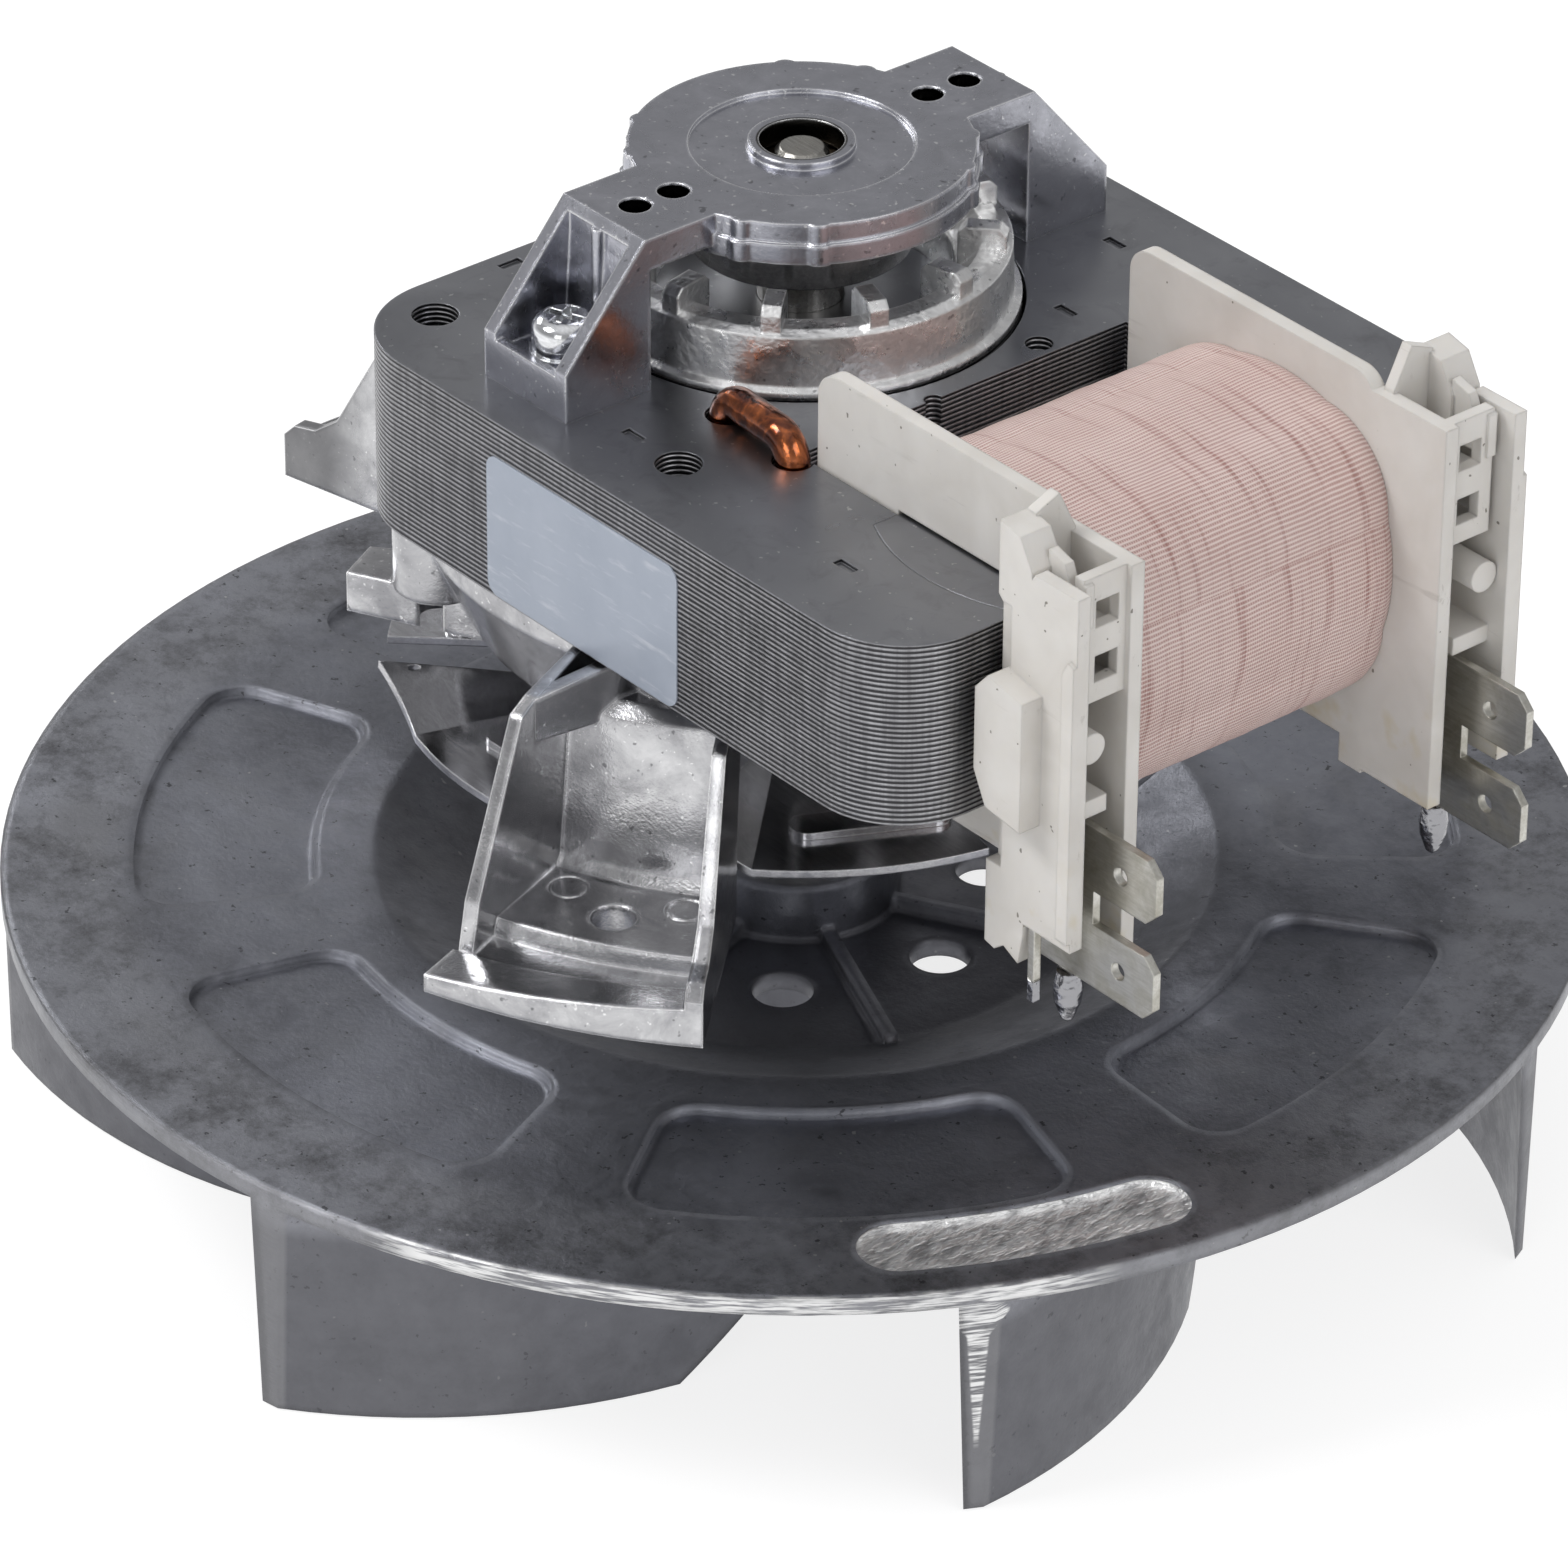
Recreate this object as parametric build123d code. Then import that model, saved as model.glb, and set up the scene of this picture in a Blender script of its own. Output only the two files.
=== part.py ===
from build123d import *
import math
import os

# Shaded-pole fan motor of a hot-air oven, with its cooling fan and its hot-air impeller.
# Millimetres. The shaft is the Z axis, z = 0 is the plane of the impeller's blade tips,
# and the coil lies towards +X.

# Impeller
IMPELLER_D = 150.0
BLADE_DEPTH = 22.0
DISC_T = 1.8
BLADE_COUNT = 7
BLADE_ROOT_T = 1.5
BLADE_TIP_T = 0.8
BLADE_START_DEG = -27.5
BLADE_CURVE_R = 55.3
BLADE_CENTRE_R = 34.7
BLADE_CENTRE_DEG = -43.5
BLADE_SWEEP_DEG = (20.0, 92.0)
BLADE_FOOT_R = 55.6
BLADE_EYE_R = 40.3
DISH_DROP = 4.8
DISH_TOP_R = 40.0
DISH_BOTTOM_R = 28.0
PAD_INNER_R = 45.5
PAD_OUTER_R = 62.5
PAD_SPAN_DEG = 39.0
PAD_DEPTH = 0.8
PAD_CORNER_SHARE = 0.235
PAD_START_DEG = -35.0
VENT_R = 18.3
VENT_D = 5.8
VENT_START_DEG = 8.0
DISH_RIB_W = 1.3
DISH_RIB_H = 1.2
DISH_RIB_START_DEG = -22.0
HUB_D = 20.0
HUB_ABOVE_DISH = 6.0
HUB_BELOW_DISH = 7.0
BALANCE_CUT_R = 67.5
BALANCE_CUT_W = 7.6
BALANCE_CUT_SPAN_DEG = 20.0
BALANCE_CUT_DEG = -22.0
BALANCE_CUT_DEPTH = 0.7

# Laminated stack
LAMINATION_T = 0.5
LAMINATION_COUNT = 36
STACK_ABOVE_DISC = 41.2
STACK_W = 73.0
YOKE_END = 22.8
LEG_END = 55.9
LEG_CORNER_R = 8.8
POLE_EDGE = 22.9
CORNER_R = 10.0
WINDOW_CLEAR = 0.3
CORE_W = 19.2
CORE_FROM_POLE = 13.6
CORE_END_R = 20.0
CORE_END_Y = 24.5
JOINT_GAP = 0.03
MOUNT_PITCH_X = 35.0
MOUNT_FROM_SIDE = 8.0
MOUNT_HOLE_D = 4.3
POLE_HOLE = (21.0, 10.5)
POLE_HOLE_D = 2.6
POLE_NOTCH_Y = -3.6
POLE_NOTCH_R = 0.9
INTERLOCK_L = 2.4
INTERLOCK_W = 1.0
INTERLOCK_DEPTH = 0.3
INTERLOCK_AT = ((11.0, 28.4), (40.4, 28.5), (-20.8, 17.2), (17.9, 16.4))

# Rotor
ROTOR_D = 40.4
AIR_GAP = 0.4
ROTOR_BAR_COUNT = 17
ROTOR_BAR_D = 3.4
ROTOR_BAR_DEPTH = 1.2
BAR_FIT = 0.02
RING_H = 6.2
RING_INNER_R = 14.0
RING_DRAFT = 0.9
FIN_COUNT = 12
FIN_W = 1.8
FIN_H = 2.2

# Shading rings
SHADING_WIRE_D = 3.2
SHADING_CLEAR = 0.35
SHADING_FROM_BORE = 3.1
SHADING_FROM_X = 13.3
SHADING_TO = (23.4, -20.3)
SHADING_REAR_TO = (-20.2, 21.6)

# Bobbin and winding
BOBBIN_WALL = 1.1
BOBBIN_FIT = 0.25
FLANGE_GAP = 35.0
FLANGE_T = 1.5
FLANGE_RISE = 9.7
FLANGE_X0 = 25.2
FLANGE_CORNER_R = 2.6
WINDING_INNER_T = 5.2
WINDING_OUTER_T = 4.3
WINDING_TOP_T = 5.0
WINDING_BOW = 0.9
WINDING_CORNER_R = 8.6
WINDING_CLEAR = 0.03
TOWER_CLEAR = 1.0
TOWER_END = 66.6
TOWER_TOP_DROP = 1.3
TOWER_LOW = 12.2
TOWER_PLATE_Y = 26.0
TOWER_PLATE_T = 1.4
TOWER_PLATE_INSET = 2.4
TOWER_PLATE_OVER = 1.2
TOWER_PLATE_LOW = 9.2
TOWER_BLOCK_W = 4.2
TOWER_BLOCK_H = 7.8
TOWER_BLOCK_TOP = 11.5
TOWER_WING_T = 1.2
TOWER_WING_TOP = 12.6
PAD_W = 6.1
PAD_T = 2.3
PAD_RISE = (2.4, 15.6)
PRONG_W = 5.0
PRONG_TOP = 4.8
PRONG_LOW = 13.2
LADDER_T = 1.2
LADDER_W = 4.8
LADDER_LOW = 4.0
LADDER_WINDOW = 2.6
LADDER_WINDOW_Z = (4.6, -0.8)
PEG_R = 1.5
PEG_Y = 23.0
SHELF_T = 1.7

# Terminals
TAB_W = 6.3
TAB_T = 0.8
TAB_L = 8.0
TAB_HOLE_D = 1.7
TAB_PITCH = 9.7
TAB_Y = 21.8
TAB_BELOW_STACK_TOP = 19.8
TAB_HOLE_FROM_ROOT = 3.4
TAB_CHAMFER = 1.3
TERMINAL_INSET = 1.8
TAIL_FROM_ROOT = 3.4
SOLDER_R = 1.35
SOLDER_DROP = 5.6
POST_T = 0.8
POST_L = 7.6

# Brackets
BRACKET_ABOVE_STACK = 15.4
PLATE_R = 15.8
PLATE_T = 3.9
PLATE_STEP = 0.35
NUB_DEG = (34.0, 57.0, 118.0, 146.0, 214.0, 238.0, 300.0, 326.0)
NUB_R = 1.2
NUB_OUT = 0.4
ARM_W = 11.6
ARM_TOP_Y = 22.8
FOOT_INNER_Y = 22.2
FOOT_OUTER_Y = 31.9
FOOT_RIB_T = 1.5
FOOT_BACK_T = 1.7
FOOT_ROOF_T = 0.9
FOOT_FLOOR_T = 3.4
FOOT_KERB = 4.8
FOOT_KERB_T = 1.0
SCREW_Y = 27.4
RECESS_R = 10.3
RECESS_DEPTH = 0.4
COLLAR_R = 4.9
COLLAR_H = 0.7
COLLAR_BORE_R = 3.9
ARM_UNDER = 0.8
GUIDE_R = 0.6
ARM_HOLE_D = 3.0
ARM_HOLE_Y = (14.9, 19.3)
ARM_HOLE_DEPTH = 2.4
BOWL_TOP_R = 35.4
BOWL_FOOT_R = 31.0
BOWL_DEPTH = 12.5
BOWL_WALL = 2.4
BOWL_RIM_H = 3.2
HOUSING_R = 10.0
BOWL_OPEN_DEG = 40.0
WALL_FOOT_COUNT = 3
WALL_FOOT_DEG = 180.6
WALL_FOOT_SPAN_DEG = 24.2
WALL_FOOT_RIB_DEG = 1.5
WALL_FOOT_Z = 41.5
WALL_FOOT_FLOOR_T = 3.0
WALL_FOOT_BACK_R = 42.3
WALL_FOOT_BACK_T = 1.1
WALL_FOOT_FRONT_R = 53.0
WALL_FOOT_RIB_R = 48.5
WALL_FOOT_SHELF = 3.8
WALL_LIP_R = 62.7
WALL_LIP_T = 5.0
WALL_LIP_INNER_R = 59.9
WALL_LIP_RAMP = (1.7, 3.8)
WALL_HOLE_R = 48.6
WALL_HOLE_D = 4.2
EJECTOR_R = 45.6
EJECTOR_D = 3.8
EJECTOR_DEG = 7.0
BOSS_D = 8.6
SCREW_POST_R = 3.7
BOWL_HOLE_R = 9.4
BOWL_WINDOW_R = (16.5, 26.5)
BOWL_WINDOW_DEG = 40.0
RIDGE_T = 1.4
RIDGE_END_R = 36.0

# Bearings and shaft
JOURNAL_TOP_D = 5.0
CORE_SHAFT_D = 8.0
JOURNAL_LOW_D = 7.0
THREAD_D = 6.0
BEARING_FIT = 0.03
BALL_TOP_R = 6.2
BALL_TOP_H = 8.0
BALL_LOW_R = 6.8
BALL_LOW_H = 8.4
BALL_SEAT = 0.1
FELT_T = 1.6
CAP_T = 0.8
CAP_R = 10.2
CAP_FIT = 0.1
CAP_SINK = 0.9
THRUST_T = 0.8
THRUST_PLAY = 0.3
SHAFT_RECESS = 2.0
SHAFT_END_Z = 4.0

# Cooling fan
FAN_ABOVE_WALL_FOOT = 2.6
FAN_R = 38.4
FAN_T = 0.8
FAN_PETALS = 6
FAN_TIP_R = 40.0
FAN_TIP_SPAN_DEG = 24.0
FAN_TIP_PITCH_DEG = 15.0
FAN_SLIT_INNER_R = 13.0
FAN_START_DEG = -46.0
BEAD_R = 31.0
BEAD_L = 15.0
BEAD_W = 3.4
BEAD_H = 0.7
BUSH_D = 13.0
BUSH_FLANGE_D = 20.0
BUSH_H = 7.0

# Fasteners
SCREW_D = 3.0
SCREW_HEAD_D = 6.0
SCREW_HEAD_H = 2.4
SCREW_L = 30.0
RECESS_CROSS_W = 1.0
SCREW_PASS = 0.2
SCREW_BITE = 0.02
SPRING_WASHER_D = 5.8
SPRING_WASHER_T = 0.8
PLAIN_WASHER_D = 6.4
PLAIN_WASHER_T = 0.5
THREAD_CLEAR = 0.04
NUT_AF = 10.0
NUT_H = 5.0
NUT_WASHER_D = 14.0
NUT_WASHER_T = 1.0

# Derived levels
DISC_TOP = BLADE_DEPTH + DISC_T
STACK_Z0 = DISC_TOP + STACK_ABOVE_DISC
STACK_H = LAMINATION_T * LAMINATION_COUNT
STACK_Z1 = STACK_Z0 + STACK_H
STACK_MID = STACK_Z0 + STACK_H / 2
BORE_R = ROTOR_D / 2 + AIR_GAP
MOUNT_PITCH_Y = STACK_W - 2 * MOUNT_FROM_SIDE
CORE_X0 = POLE_EDGE + CORE_FROM_POLE
CORE_X1 = CORE_X0 + CORE_W
CORE_MID_X = CORE_X0 + CORE_W / 2
TUBE_X = CORE_W / 2 + BOBBIN_FIT + BOBBIN_WALL
TUBE_Z = STACK_H / 2 + BOBBIN_FIT + BOBBIN_WALL
FLANGE_IN = FLANGE_GAP / 2
FLANGE_OUT = FLANGE_IN + FLANGE_T
WINDOW_HALF = FLANGE_OUT + WINDOW_CLEAR
TOWER_X0 = LEG_END + TOWER_CLEAR
TOWER_IN_Y = TOWER_PLATE_Y - TOWER_PLATE_T
TOWER_LOW_Z = STACK_Z0 - TOWER_LOW
TOWER_TOP_Z = STACK_Z1 + FLANGE_RISE - TOWER_TOP_DROP
PLATE_LOW_Z = STACK_Z0 - TOWER_PLATE_LOW
TERMINAL_X1 = TOWER_END - 0.1
TAB_TOP_Z = STACK_Z1 - TAB_BELOW_STACK_TOP
TAB_LOW_Z = TAB_TOP_Z - TAB_PITCH
BRACKET_Z1 = STACK_Z1 + BRACKET_ABOVE_STACK
PLATE_Z0 = BRACKET_Z1 - PLATE_T
BOWL_Z0 = STACK_Z0 - BOWL_DEPTH
WALL_FOOT_FLOOR_Z = WALL_FOOT_Z + WALL_FOOT_FLOOR_T
FAN_Z = WALL_FOOT_Z + FAN_ABOVE_WALL_FOOT
BALL_TOP_Z = PLATE_Z0 - BALL_TOP_H / 2 + 1.2
BALL_LOW_Z = BOWL_Z0 + BALL_LOW_H / 2 + FELT_T + CAP_T
DISH_TOP_Z = DISC_TOP - DISH_DROP
HUB_TOP_Z = DISH_TOP_Z + HUB_ABOVE_DISH
HUB_LOW_Z = DISH_TOP_Z - DISC_T - HUB_BELOW_DISH
FLOOR_TOP_Z = STACK_Z1 + FOOT_FLOOR_T
SCREW_SEAT_Z = FLOOR_TOP_Z + PLAIN_WASHER_T + SPRING_WASHER_T


def cylinder(r, z0, z1, x=0.0, y=0.0):
    return Pos(x, y, (z0 + z1) / 2) * Cylinder(r, z1 - z0)


def block(x0, x1, y0, y1, z0, z1):
    return Pos((x0 + x1) / 2, (y0 + y1) / 2, (z0 + z1) / 2) * Box(x1 - x0, y1 - y0, z1 - z0)


def ring(r_out, r_in, z0, z1, x=0.0, y=0.0):
    return cylinder(r_out, z0, z1, x, y) - cylinder(r_in, z0 - 1, z1 + 1, x, y)


def polar(r, deg):
    return (r * math.cos(math.radians(deg)), r * math.sin(math.radians(deg)))


def turned(points, arc_deg=360.0, start_deg=0.0):
    # A section of (radius, height) points turned about the shaft axis.
    face = Plane.XZ * make_face(Polyline(*points, close=True))
    return Rot(0, 0, start_deg) * revolve(face, Axis.Z, arc_deg)


def prism(points, z0, z1):
    return Pos(0, 0, z0) * extrude(make_face(Polyline(*points, close=True)), z1 - z0)


def wall(points, y0, y1):
    # A flat wall seen from the side: (x, z) points, between two depths.
    face = Plane.XZ * make_face(Polyline(*points, close=True))
    return Pos(0, y1, 0) * extrude(face, y1 - y0)


def one(shape):
    # The single solid of a shape, free of leftover compounds.
    return Part() + shape.solids()


def stack_outline():
    # Closed end towards -X and two legs towards +X, each with a rounded outer corner,
    # a straight inner edge and a hollow for the rounded end of the coil core.
    half = STACK_W / 2
    body = Pos((LEG_END - YOKE_END) / 2, 0) * Rectangle(LEG_END + YOKE_END, STACK_W)
    back = body.vertices().filter_by(lambda v: v.X < 0)
    body = fillet(back, CORNER_R)
    front = body.vertices().filter_by(lambda v: v.X > LEG_END - 0.01)
    body = fillet(front, LEG_CORNER_R)
    window = Pos((POLE_EDGE + LEG_END + 1) / 2, 0) * Rectangle(LEG_END + 1 - POLE_EDGE, 2 * WINDOW_HALF)
    hollow = core_outline(JOINT_GAP) + Pos(LEG_END + 1, 0) * Rectangle(2, 2 * half - 4 * LEG_CORNER_R)
    body = body - window - hollow
    return body


def core_outline(grow=0.0):
    # The coil core seen from above: straight sides and bulged ends.
    disc_y = CORE_END_Y - CORE_END_R
    x0 = CORE_X0 - grow
    x1 = CORE_X1 + grow
    bar = Pos((x0 + x1) / 2, 0) * Rectangle(x1 - x0, 2 * CORE_END_Y + 1)
    ends = Pos(CORE_MID_X, disc_y) * Circle(CORE_END_R + grow)
    ends = ends + Pos(CORE_MID_X, -disc_y) * Circle(CORE_END_R + grow)
    ends = ends + Pos(CORE_MID_X, 0) * Rectangle(CORE_W + 2, 2 * disc_y)
    return bar & ends


def shading_ends(side):
    # Where the two limbs of a shading ring pass the stack, in front (1) or at the rear (-1).
    slot_r = BORE_R + SHADING_FROM_BORE
    inner_y = -math.sqrt(slot_r ** 2 - SHADING_FROM_X ** 2)
    outer = SHADING_TO if side > 0 else SHADING_REAR_TO
    return Vector(side * SHADING_FROM_X, side * inner_y), Vector(*outer)


def stator_stack():
    low = STACK_Z0 - 1
    high = STACK_Z1 + 1
    solid = Pos(0, 0, STACK_Z0) * extrude(stack_outline(), STACK_H)
    solid = solid - cylinder(BORE_R, low, high)
    for x in (-MOUNT_PITCH_X / 2, MOUNT_PITCH_X / 2):
        for y in (-MOUNT_PITCH_Y / 2, MOUNT_PITCH_Y / 2):
            solid = solid - cylinder(MOUNT_HOLE_D / 2, low, high, x, y)
    for side in (-1, 1):
        solid = solid - cylinder(SCREW_D / 2 + SCREW_PASS, low, high, 0, side * SCREW_Y)
    solid = solid - cylinder(POLE_HOLE_D / 2, low, high, *POLE_HOLE)
    solid = solid - cylinder(POLE_NOTCH_R, low, high, POLE_EDGE, POLE_NOTCH_Y)
    for end in shading_ends(1) + shading_ends(-1):
        solid = solid - cylinder(SHADING_WIRE_D / 2 + SHADING_CLEAR, low, high, end.X, end.Y)
    mark = Box(INTERLOCK_L, INTERLOCK_W, 2 * INTERLOCK_DEPTH)
    for x, y in INTERLOCK_AT:
        for side in (-1, 1):
            solid = solid - Pos(x, side * y, STACK_Z1) * Rot(0, 0, 90 if x < 0 else 0) * mark
    return one(solid)


def limb_core():
    # The core that carries the coil and bridges the legs.
    return one(Pos(0, 0, STACK_Z0) * extrude(core_outline(), STACK_H))


def shading_ring(side):
    # A thick closed copper loop round one side of a pole.
    inner, outer = shading_ends(side)
    rise = SHADING_WIRE_D / 2 + SHADING_CLEAR
    span = (outer - inner).length
    direction = (outer - inner).normalized()
    plane = Plane(
        origin=(inner.X, inner.Y, STACK_Z0 - rise),
        x_dir=(direction.X, direction.Y, 0),
        z_dir=(direction.Y, -direction.X, 0),
    )
    height = STACK_H + 2 * rise
    loop = Pos(span / 2, height / 2) * RectangleRounded(span, height, SHADING_WIRE_D * 0.75)
    path = plane * loop.face().outer_wire()
    start = path @ 0
    section = Plane(origin=start, z_dir=path % 0) * Circle(SHADING_WIRE_D / 2)
    return sweep(section, path=path)


def coil_bobbin():
    z0 = STACK_MID - TUBE_Z
    z1 = STACK_MID + TUBE_Z
    hole = block(
        CORE_X0 - BOBBIN_FIT, CORE_X1 + BOBBIN_FIT, -FLANGE_OUT - 1, FLANGE_OUT + 1,
        STACK_Z0 - BOBBIN_FIT, STACK_Z1 + BOBBIN_FIT,
    )
    body = block(CORE_MID_X - TUBE_X, CORE_MID_X + TUBE_X, -FLANGE_OUT, FLANGE_OUT, z0, z1)
    half = flange() + tower()
    body = body + half + mirror(half, Plane.XZ)
    return one(body - hole)


def flange():
    # The cheek beside the winding on the +Y side, its plain extension and a small foot.
    z_low = STACK_Z0 - FLANGE_RISE
    z_high = STACK_Z1 + FLANGE_RISE
    x1 = TOWER_X0 + 0.5
    outline = RectangleRounded(x1 - FLANGE_X0, z_high - z_low, FLANGE_CORNER_R)
    outline = Pos((FLANGE_X0 + x1) / 2, STACK_MID) * outline
    cheek = Pos(0, FLANGE_OUT, 0) * extrude(Plane.XZ * outline, FLANGE_T)
    extension = block(TOWER_X0, TOWER_END, FLANGE_IN, FLANGE_OUT, TOWER_LOW_Z, TOWER_TOP_Z)
    foot = block(TOWER_X0 - 2.0, TOWER_X0 + 0.9, FLANGE_IN, FLANGE_OUT, TOWER_LOW_Z - 0.4, z_low + 3)
    return cheek + extension + foot


def tower():
    # The box that holds the terminals, between the extension and an outer plate.
    x0 = TOWER_X0
    x1 = TOWER_END + TOWER_PLATE_OVER
    px = x0 + TOWER_PLATE_INSET
    y0 = TOWER_IN_Y
    y1 = TOWER_PLATE_Y
    bx = x0 + 0.7 + TOWER_BLOCK_W
    block_top = STACK_Z1 + TOWER_BLOCK_TOP
    block_low = block_top - TOWER_BLOCK_H
    plate_top = TOWER_TOP_Z - 0.3
    outer = wall([
        (px, block_low), (px, STACK_Z0 + 1), (px - 0.7, STACK_Z0 + 0.4), (px - 0.7, PLATE_LOW_Z),
        (x1, PLATE_LOW_Z), (x1, plate_top), (bx + 0.4, plate_top),
        (bx - 1.4, plate_top - 3.0), (bx - 2.2, block_low),
    ], y0, y1)
    head = wall([
        (x0 + 0.7, block_low + 0.6), (x0 + 1.3, block_low),
        (px, block_low), (bx, block_low), (bx, block_top - 3.4),
        (bx - 1.6, block_top - 0.6), (x0 + 0.7, block_top),
    ], y1 - 3.4, y1)
    wing = Pos(x0 + 0.7, 0, 0) * extrude(Plane.YZ * make_face(Polyline(
        (FLANGE_OUT - 0.5, block_low), (y1 - 3.0, block_low), (y1 - 3.0, block_top),
        (FLANGE_OUT + 1.4, STACK_Z1 + TOWER_WING_TOP),
        (FLANGE_OUT - 0.5, STACK_Z1 + FLANGE_RISE - 1), close=True,
    )), TOWER_WING_T)
    ragged = wall([
        (bx - 0.3, block_low), (TOWER_END - 0.3, block_low), (TOWER_END - 0.3, plate_top - 0.2),
        (TOWER_END - 1.1, plate_top + 0.1), (TOWER_END - 1.8, plate_top - 2.0),
        (TOWER_END - 3.0, plate_top + 0.9),
        (bx - 0.3, plate_top + 1.5),
    ], y0 - 1.7, y0 - 0.7)
    strip = wall([
        (x1 - 1.5, PLATE_LOW_Z + 1), (x1, PLATE_LOW_Z + 1),
        (x1, plate_top - 6.6), (x1 - 0.7, plate_top - 6.2),
        (x1 - 1.5, plate_top - 7.6),
    ], y1 - 0.3, y1 + 0.4)
    low_pad, high_pad = PAD_RISE
    pad = wall([
        (x0 + 0.5, STACK_Z0 + low_pad + 3.2), (x0 + 2.1, STACK_Z0 + low_pad),
        (x0 + 0.5 + PAD_W, STACK_Z0 + low_pad - 0.6),
        (x0 + 0.5 + PAD_W, STACK_Z0 + high_pad - 0.9),
        (x0 + 2.1, STACK_Z0 + high_pad), (x0 + 0.5, STACK_Z0 + high_pad - 1.8),
    ], y1 - 0.2, y1 + PAD_T)
    pad_back = wall([
        (x0 + 0.5, STACK_Z0 + low_pad + 3.2),
        (px + 0.2, STACK_Z0 + low_pad + 1), (px + 0.2, STACK_Z0 + high_pad),
        (x0 + 0.5, STACK_Z0 + high_pad - 1.8),
    ], y0, y1)
    prong_x0 = x0 - 0.2
    prong_x1 = prong_x0 + PRONG_W
    prong_low = STACK_Z0 - PRONG_LOW
    prong = wall([
        (prong_x0, STACK_Z0 - PRONG_TOP), (prong_x0, prong_low), (prong_x0 + 1.3, prong_low - 0.3),
        (prong_x0 + 2.5, prong_low + 0.6), (prong_x0 + 4.4, prong_low - 0.3), (prong_x1, prong_low + 3.0),
        (prong_x1, STACK_Z0 - PRONG_TOP),
    ], y0, y1)
    back = block(x0, x0 + 1.3, FLANGE_OUT - 0.1, y0 + 0.1, PLATE_LOW_Z + 3, TOWER_TOP_Z - 1)
    back = back + block(x0, px + 0.3, y0 - 1.0, y0 + 0.2, PLATE_LOW_Z + 3, block_low + 1)
    ladder = block(
        TOWER_END - 1.8, TOWER_END - 1.8 + LADDER_T, FLANGE_OUT - 0.1, FLANGE_OUT + LADDER_W,
        STACK_Z1 - LADDER_LOW, TOWER_TOP_Z,
    )
    for level in LADDER_WINDOW_Z:
        ladder = ladder - block(
            TOWER_END - 3, TOWER_END, FLANGE_OUT + 0.8, FLANGE_OUT + 0.8 + LADDER_WINDOW,
            STACK_Z1 + level - LADDER_WINDOW / 2, STACK_Z1 + level + LADDER_WINDOW / 2,
        )
    rung_y0 = FLANGE_OUT - 0.1
    rung_y1 = FLANGE_OUT + LADDER_W
    rung_z = STACK_Z1 - LADDER_LOW
    rungs = block(x0, TOWER_END - 0.8, rung_y0, rung_y1, rung_z, rung_z + 1.0)
    rungs = rungs + block(x0, TOWER_END - 1.0, rung_y0, rung_y1, STACK_Z1 + 1.2, STACK_Z1 + 2.2)
    shelf = block(x0, TOWER_END - 0.8, FLANGE_OUT + 1.4, y0 + 0.1, STACK_Z0 + 2.3, STACK_Z0 + 2.3 + SHELF_T)
    peg = Plane.YZ * (Pos(PEG_Y, STACK_MID + 0.8) * Circle(PEG_R))
    peg = Pos(x0, 0, 0) * extrude(peg, TOWER_END - x0)
    walls = outer + head + wing + ragged + strip + pad + pad_back
    return walls + prong + back + ladder + rungs + shelf + peg


def coil_winding():
    # Fine enamelled wire wound to a full, crowned shape with wide corners.
    left = -TUBE_X - WINDING_INNER_T + WINDING_BOW
    right = TUBE_X + WINDING_OUTER_T - WINDING_BOW
    half_z = TUBE_Z + WINDING_TOP_T - WINDING_BOW
    mid_x = (left + right) / 2
    face = make_face([
        ThreePointArc((left, -half_z), (mid_x, -half_z - WINDING_BOW), (right, -half_z)),
        ThreePointArc((right, -half_z), (right + WINDING_BOW, 0), (right, half_z)),
        ThreePointArc((right, half_z), (mid_x, half_z + WINDING_BOW), (left, half_z)),
        ThreePointArc((left, half_z), (left - WINDING_BOW, 0), (left, -half_z)),
    ])
    face = fillet(face.vertices(), WINDING_CORNER_R)
    face = face - Rectangle(2 * TUBE_X + 2 * WINDING_CLEAR, 2 * TUBE_Z + 2 * WINDING_CLEAR)
    solid = extrude(Plane.XZ * face, FLANGE_IN - WINDING_CLEAR, both=True)
    return one(Pos(CORE_MID_X, 0, STACK_MID) * solid)


def terminal(side):
    # A stamped strip with two push-on tabs and a soldered tail, held in its tower.
    x0 = TOWER_X0 + TERMINAL_INSET
    x1 = TERMINAL_X1
    strip = Pos((x0 + x1) / 2, (TAB_TOP_Z + TAB_LOW_Z) / 2) * Rectangle(x1 - x0, TAB_PITCH + TAB_W)
    shape = strip
    for z in (TAB_TOP_Z, TAB_LOW_Z):
        tab = Pos(x1 + TAB_L / 2 - 0.5, z) * Rectangle(TAB_L + 1, TAB_W)
        tips = tab.vertices().filter_by(lambda v: v.X > x1 + TAB_L - 1)
        tab = chamfer(tips, TAB_CHAMFER)
        shape = shape + tab - Pos(x1 + TAB_HOLE_FROM_ROOT, z) * Circle(TAB_HOLE_D / 2)
    tail_x = x1 - TAIL_FROM_ROOT
    tail_z = TAB_LOW_Z - TAB_W / 2
    shape = shape + Pos(tail_x, tail_z - 1.0) * Rectangle(1.6, 3.0)
    solid = Pos(0, TAB_T / 2, 0) * extrude(Plane.XZ * shape, TAB_T)
    drop = make_face(Polyline(
        (0, tail_z - SOLDER_DROP), (SOLDER_R * 0.45, tail_z - SOLDER_DROP * 0.9),
        (SOLDER_R * 0.9, tail_z - SOLDER_DROP * 0.6),
        (SOLDER_R, tail_z - SOLDER_DROP * 0.35), (SOLDER_R * 0.8, tail_z - 0.2), (0, tail_z), close=True,
    ))
    solder = Pos(tail_x, 0, 0) * revolve(Plane.XZ * drop, Axis.Z, 360)
    return one(Pos(0, side * TAB_Y, 0) * (solid + solder))


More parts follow.
